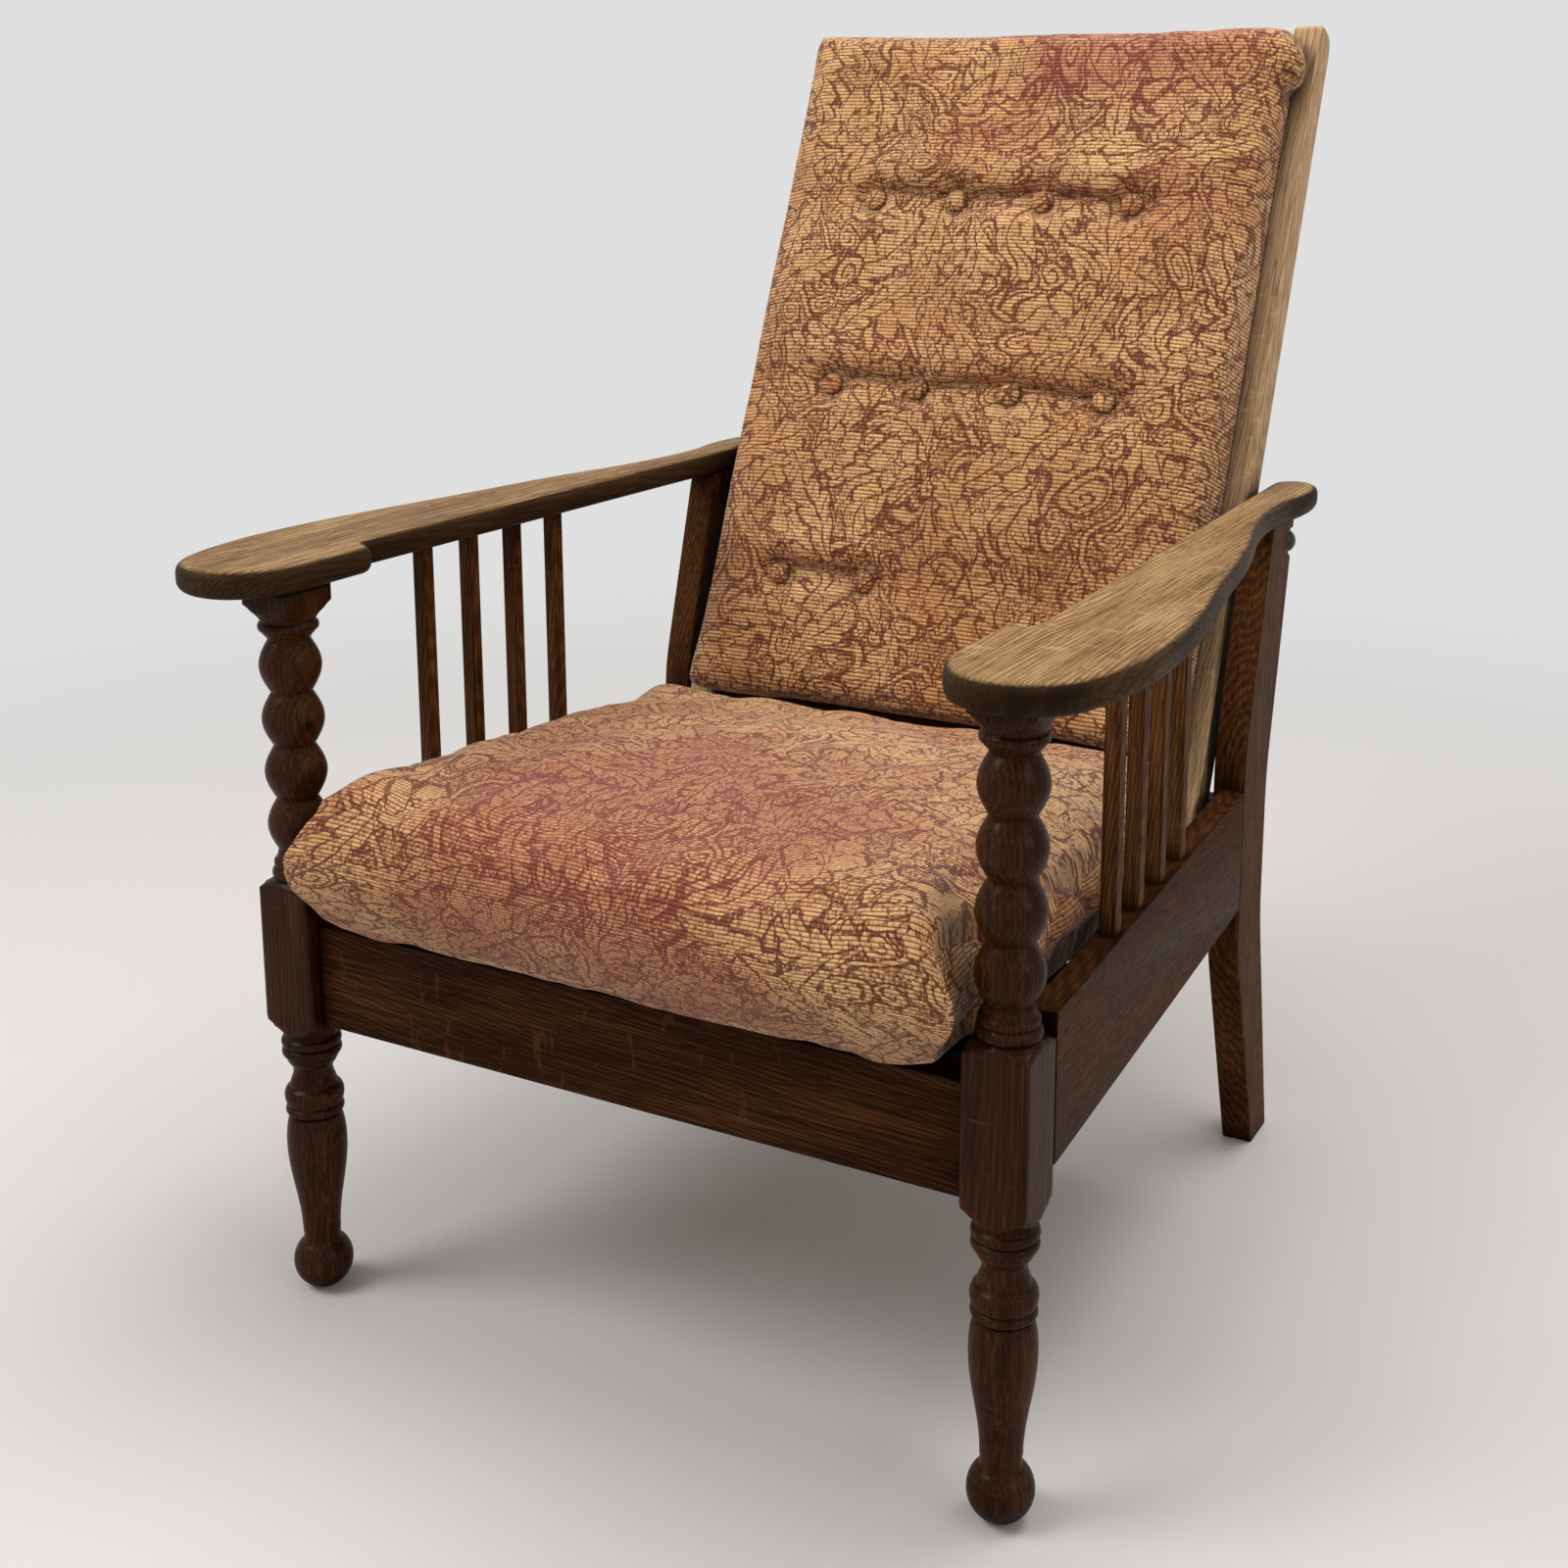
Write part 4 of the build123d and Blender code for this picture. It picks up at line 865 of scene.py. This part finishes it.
def shape_seat(piece):
    points, normals = mesh_arrays(piece.data)
    x, y, z = points.T
    low, high = (np.array(c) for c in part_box("seat_cushion"))
    top = np.clip(normals[:, 2], 0, 1)
    from_seam = np.abs(x) - SEAT_SEAM
    ahead = eased((LEG_Y - 25.5 * MM - y) / 0.026)
    corner = bell(np.abs(x) - SEAT_HALF, 60 * MM) * ahead
    x += np.sign(x) * corner * 0.036 * bell(z - 0.378, 0.06)
    z += top * 0.014 * bell(np.abs(x) - 255 * MM, 0.08) * bell(y - SEAT_NOSE_Y - 0.06, 0.11)
    z += top * 0.011 * eased((y - 0.005) / 0.07)
    behind = eased((y - LEG_Y - 26 * MM) / 0.016)
    rail_x = RAIL_INNER - (y - LEG_Y - LEG_HALF) * RAIL_TAPER
    room = np.clip(rail_x - RAIL_CLEARANCE - LEG_GAP_HALF, 0, 19 * MM) * behind
    x += np.sign(x) * np.clip((np.abs(x) - 0.22) / 0.05, 0, 1) * (room * 1.1 * bell(z - 0.375, 0.06) + 2 * MM)
    set_points(piece.data, points)
    even = piece.modifiers.new("even", "SMOOTH")
    even.factor, even.iterations = 0.5, 10
    mesh = applied(piece)
    points, normals = mesh_arrays(mesh)
    x, y, z = points.T
    forward = np.clip(-normals[:, 1], 0, 1)
    ripple = 0.0012 * np.sin(61 * x + 3 * np.sin(23 * y)) + 0.0010 * np.sin(47 * y + 2.2 * np.sin(31 * x + 1))
    z += np.clip(normals[:, 2], 0, 1) * ripple
    y -= forward * (0.0012 * np.sin(38 * x + 1.3) + 0.002 * np.sin(15 * x + 0.4))
    seam = bell(from_seam, 2.8 * MM)
    lip = bell(from_seam, 9 * MM) - seam
    points -= normals * (seam * 0.0030 - lip * 0.0010)[:, None]
    pull = bell(from_seam + 7 * MM, 11 * MM) * forward
    points -= normals * (pull * 0.0016 * (1 + np.sin(240 * z)))[:, None]
    limit = LEG_GAP_HALF + 24.5 * MM * ahead + room
    np.clip(x, -limit, limit, out=x)
    np.clip(z, low[2] + 0.0004, high[2] + 0.012, out=z)
    np.clip(y, low[1] - 0.012, high[1] + 0.0035, out=y)
    set_points(mesh, points)


seat = stuffed("stuffed_seat_cushion", "seat_cushion", 3.5 * MM, 9 * MM)
lay_pattern(seat, seat_panels)
shape_seat(seat)
seat.data.materials.append(chenille("seat_chenille", ((-0.02, -0.30, 0.41), 0.30)))
seat.data.shade_smooth()
take_over(seat, "seat_cushion", "frame")

# Back cushion: the same chenille over a pad, laid against the slats and wrapped over the top. Three
# rows of covered buttons are sewn through it, and each row draws the cloth into a shallow crease.

PAD_HALF, PAD_LOW, PAD_TOP = 235 * MM, 24 * MM, 704 * MM
LAP_HALF, STILE_GAP_HALF = 250 * MM, 235.8 * MM
ROWS = ((518.0 * MM, (-131 * MM, -44 * MM, 44 * MM, 131 * MM)),
        (330.0 * MM, (-138 * MM, -47 * MM, 47 * MM, 138 * MM)),
        (143.0 * MM, (-158 * MM, -68 * MM)))


def off_back(points):
    """Points as x across, n rearward and t up the leaning back."""
    y, z = points[:, 1] - HINGE_Y, points[:, 2] - HINGE_Z
    return np.stack([points[:, 0], y * math.cos(SLOPE) - z * math.sin(SLOPE),
                     y * math.sin(SLOPE) + z * math.cos(SLOPE)], 1)


def onto_back(local):
    x, n, t = local.T
    return np.stack(on_back(x, n, t), 1)


def back_panels(points, facing, middles):
    x, n, t = off_back(points).T
    lean = off_back(facing + np.array(on_back(0, 0, 0)))
    u, v = x.copy(), t.copy()
    over = lean[:, 2] > 0.65
    v[over] = (PAD_TOP + (n + 0.09))[over]
    under = (lean[:, 2] < -0.65)
    v[under] = (PAD_LOW - (n + 0.09))[under]
    side = np.abs(lean[:, 0]) > 0.62
    u[side] = (np.sign(x) * (PAD_HALF + (n + 0.09)))[side]
    return np.stack([u, v], 1) + np.array((1.7, 2.3))


def button_backs():
    """Where the back of each covered button sits: x, n, t, from the CAD buttons."""
    corners, _ = mesh_arrays(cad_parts["back_buttons"].data)
    local = off_back(corners)
    found = []
    for t, row in ROWS:
        for x in row:
            near = local[np.hypot(local[:, 0] - x, local[:, 2] - t) < 20 * MM]
            low, high = near.min(0), near.max(0)
            found.append(((low[0] + high[0]) / 2, high[1], (low[2] + high[2]) / 2))
    return found


BUTTONS = button_backs()


def shape_back(piece):
    mesh = piece.data
    points, normals = mesh_arrays(mesh)
    local = off_back(points)
    lean = off_back(normals + np.array(on_back(0, 0, 0)))
    x, n, t = local.T
    front = np.clip(-lean[:, 1] * 1.6, 0, 1)
    n -= front * 0.0016 * (np.sin(37 * x + 2 * np.sin(19 * t)) + np.sin(29 * t + 1.5 * np.sin(23 * x)))
    for height, row in ROWS:
        inside = 1 / (1 + np.exp(-(x - row[0] + 0.02) / 0.006)) / (1 + np.exp((x - row[-1] - 0.02) / 0.006))
        sag = height + 0.002 * np.sin(40 * x)
        crease = 0.0088 * bell(t - sag - 7 * MM, 4.0 * MM)
        rolls = 0.0052 * bell(t - sag - 26 * MM, 18 * MM) + 0.0020 * bell(t - sag + 22 * MM, 16 * MM)
        n += front * inside * (crease - rolls)
        n += front * 0.0045 * bell(t - sag, 28 * MM)
    for bx, bn, bt in BUTTONS:
        away = np.hypot(x - bx, t - bt)
        turn = np.arctan2(t - bt, x - bx)
        n += front * 0.0011 * np.cos(9 * turn + 17 * bx / PAD_HALF) * bell(away - 22 * MM, 11 * MM)
        hold = np.exp(-(away / (15.5 * MM)) ** 4) * front
        n += hold * (bn - 2.4 * MM - n)
    edge = bell(np.abs(x) - (PAD_HALF - 6 * MM), 3.2 * MM) * front
    n += edge * 0.0016
    bulge = bell(t - 668 * MM, 19 * MM) * bell(n + 0.062, 0.03) * (x > 0)
    x += bell(x - PAD_HALF, 18 * MM) * bulge * 0.016
    x -= bell(x - PAD_HALF, 14 * MM) * bell(t - 646 * MM, 6 * MM) * bell(n + 0.062, 0.03) * 0.005
    reach = np.clip((np.abs(x) - 0.19) / 0.04, 0, 1)
    x += np.sign(x) * reach * np.where(n < -0.036, 0.011 * bell(n + 0.058, 0.03) + 0.009, 0.006)
    rearward = np.clip((n + 0.058) / 0.024, 0, 1)
    x += np.sign(x) * reach * rearward * 0.010
    n += reach * rearward * 0.009
    limit = LAP_HALF + 0.0014 * np.sin(27 * t) + 0.0008 * np.sin(71 * t + 1) + 0.011 * bulge
    shoulder = np.clip((t - PAD_TOP + 24 * MM) / 0.034, 0, 1)
    limit = limit - 0.016 * shoulder ** 2
    limit = np.where(n > -0.0385, np.minimum(STILE_GAP_HALF, limit), limit)
    foot = bell(t - PAD_LOW, 0.03) * np.clip((-0.05 - n) / 0.03, 0, 1)
    n -= foot * 0.006
    t -= foot * 0.009
    np.clip(x, -limit, limit, out=x)
    np.clip(n, -0.115, -0.0252, out=n)
    np.clip(t, PAD_LOW - 0.009, PAD_TOP + 0.011, out=t)
    set_points(mesh, onto_back(np.stack([x, n, t], 1)))


pad = stuffed("stuffed_back_cushion", "back_cushion", 3.0 * MM, 8 * MM)
shape_back(pad)
lay_pattern(pad, back_panels)
pad.data.materials.append(chenille("back_chenille", ((0.1, 0.33, 0.98), 0.17)))
pad.data.shade_smooth()
take_over(pad, "back_cushion", "back")

# Buttons: tin moulds covered in scraps of the same cloth, each gathered round its rim. Their threads
# go through the pad, so they sit in dimples, and two are all that the lowest row has.


def covered_buttons(name, material):
    points, faces = [], []
    profile = [(0.0, 6.5), (0.2, 8.8), (1.2, 10.2), (2.6, 10.4), (4.1, 9.6), (5.4, 7.9), (6.3, 5.4),
               (6.8, 2.7), (6.95, 1.0)]
    count = 48
    for number, (bx, bn, bt) in enumerate(BUTTONS):
        first = len(points)
        for rise, radius in profile:
            for step in range(count):
                turn = 2 * math.pi * step / count
                gather = 1 + 0.02 * math.sin(11 * turn + number) * (radius > 8)
                points.append(on_back(bx + radius * gather * MM * math.cos(turn), bn - (rise + 2.3) * MM,
                                      bt + radius * gather * MM * math.sin(turn)))
        faces += [tuple(reversed([first + i for i in face])) for face in tube_faces(len(profile), count)]
    piece = new_piece(name, points, faces, material)
    take_over(piece, "back_buttons", "back")
    lay_pattern(piece, lambda places, facing, middles: off_back(places)[:, [0, 2]] + np.array((0.4, 0.9)))


covered_buttons("covered_buttons", chenille("button_chenille", ((0, 0, 3), 0.1)))

# Studio: a pale floor that fades into a pale surround, which only the camera, reflections and glass
# see. The chair is lit by soft daylight from the left and above, and a weak lamp on the right.

floor_finish = Finish("pale_floor")
seen = floor_finish.node("ShaderNodeLightPath").outputs
direct = floor_finish.calc("MAXIMUM", seen["Is Camera Ray"], seen["Is Glossy Ray"])
spot = floor_finish.node("ShaderNodeTexCoord").outputs["Object"]
away = floor_finish.measure("LENGTH", spot)
far = floor_finish.times(floor_finish.soft(away, 0.9, 2.6), direct)
floor_material = floor_finish.dress(Base_Color=floor_finish.blend(far, (0.66, 0.65, 0.64), (0.0, 0.0, 0.0)),
                                    Emission_Color=(0.74, 0.74, 0.74), Emission_Strength=far, Roughness=0.8,
                                    Specular_IOR_Level=0.0)
FLOOR_HALF, FLOOR_DROP = 6, 0.4 * MM
floor = new_piece("floor", [(x * FLOOR_HALF, y * FLOOR_HALF, -FLOOR_DROP)
                            for x, y in ((-1, -1), (1, -1), (1, 1), (-1, 1))],
                  [(0, 1, 2, 3)], floor_material, smooth=False)

world = bpy.data.worlds.new("studio")
world.use_nodes = True
bpy.context.scene.world = world
tree = world.node_tree
tree.nodes.clear()
light_path = tree.nodes.new("ShaderNodeLightPath").outputs
shown = light_path["Is Camera Ray"]
for ray in ("Is Glossy Ray", "Is Transmission Ray"):
    either = tree.nodes.new("ShaderNodeMath")
    either.operation = "MAXIMUM"
    tree.links.new(shown, either.inputs[0])
    tree.links.new(light_path[ray], either.inputs[1])
    shown = either.outputs[0]
which = tree.nodes.new("ShaderNodeMixShader")
tree.links.new(shown, which.inputs[0])
FILL_LIGHT, BACKDROP = ((1.0, 0.975, 0.94, 1), 0.42), ((0.74, 0.74, 0.74, 1), 1.0)
for socket, (color, strength) in zip(which.inputs[1:], (FILL_LIGHT, BACKDROP)):
    light = tree.nodes.new("ShaderNodeBackground")
    light.inputs[0].default_value, light.inputs[1].default_value = color, strength
    tree.links.new(light.outputs[0], socket)
world_out = tree.nodes.new("ShaderNodeOutputWorld")
tree.links.new(which.outputs[0], world_out.inputs[0])


def soft_lamp(name, place, aim, size, watts, color):
    lamp = bpy.data.lights.new(name, "AREA")
    lamp.shape = "DISK"
    lamp.size, lamp.energy, lamp.color = size, watts, color
    holder = bpy.data.objects.new(name, lamp)
    bpy.context.scene.collection.objects.link(holder)
    holder.location = place
    holder.rotation_euler = (Vector(aim) - Vector(place)).to_track_quat("-Z", "Y").to_euler()


soft_lamp("window", (-1.9, -1.9, 2.9), (0, 0, 0.5), 1.9, 66, (1.0, 0.985, 0.96))
soft_lamp("ceiling", (0.5, 0.5, 3.2), (0, 0, 0.4), 2.4, 66, (1.0, 0.98, 0.95))
soft_lamp("far_side", (2.8, -0.9, 1.6), (0, 0, 0.5), 1.6, 11, (1.0, 0.98, 0.95))

CAMERA_DOWN, CAMERA_YAW = math.radians(11.847), math.radians(28.38)
FOCAL_PIXELS, PHOTO_PIXELS = 2068.0, 1600
camera_data = bpy.data.cameras.new("camera")
camera_data.sensor_width = 36
camera_data.lens = 36 * FOCAL_PIXELS / PHOTO_PIXELS
camera_data.shift_x, camera_data.shift_y = -0.0308, -0.15
camera = bpy.data.objects.new("camera", camera_data)
camera.location = (781.3 * MM, -1495.03 * MM, 931.5 * MM)
camera.rotation_euler = (math.pi / 2 - CAMERA_DOWN, 0, CAMERA_YAW)
bpy.context.scene.collection.objects.link(camera)
bpy.context.scene.camera = camera
bpy.context.scene.view_settings.view_transform = "Standard"
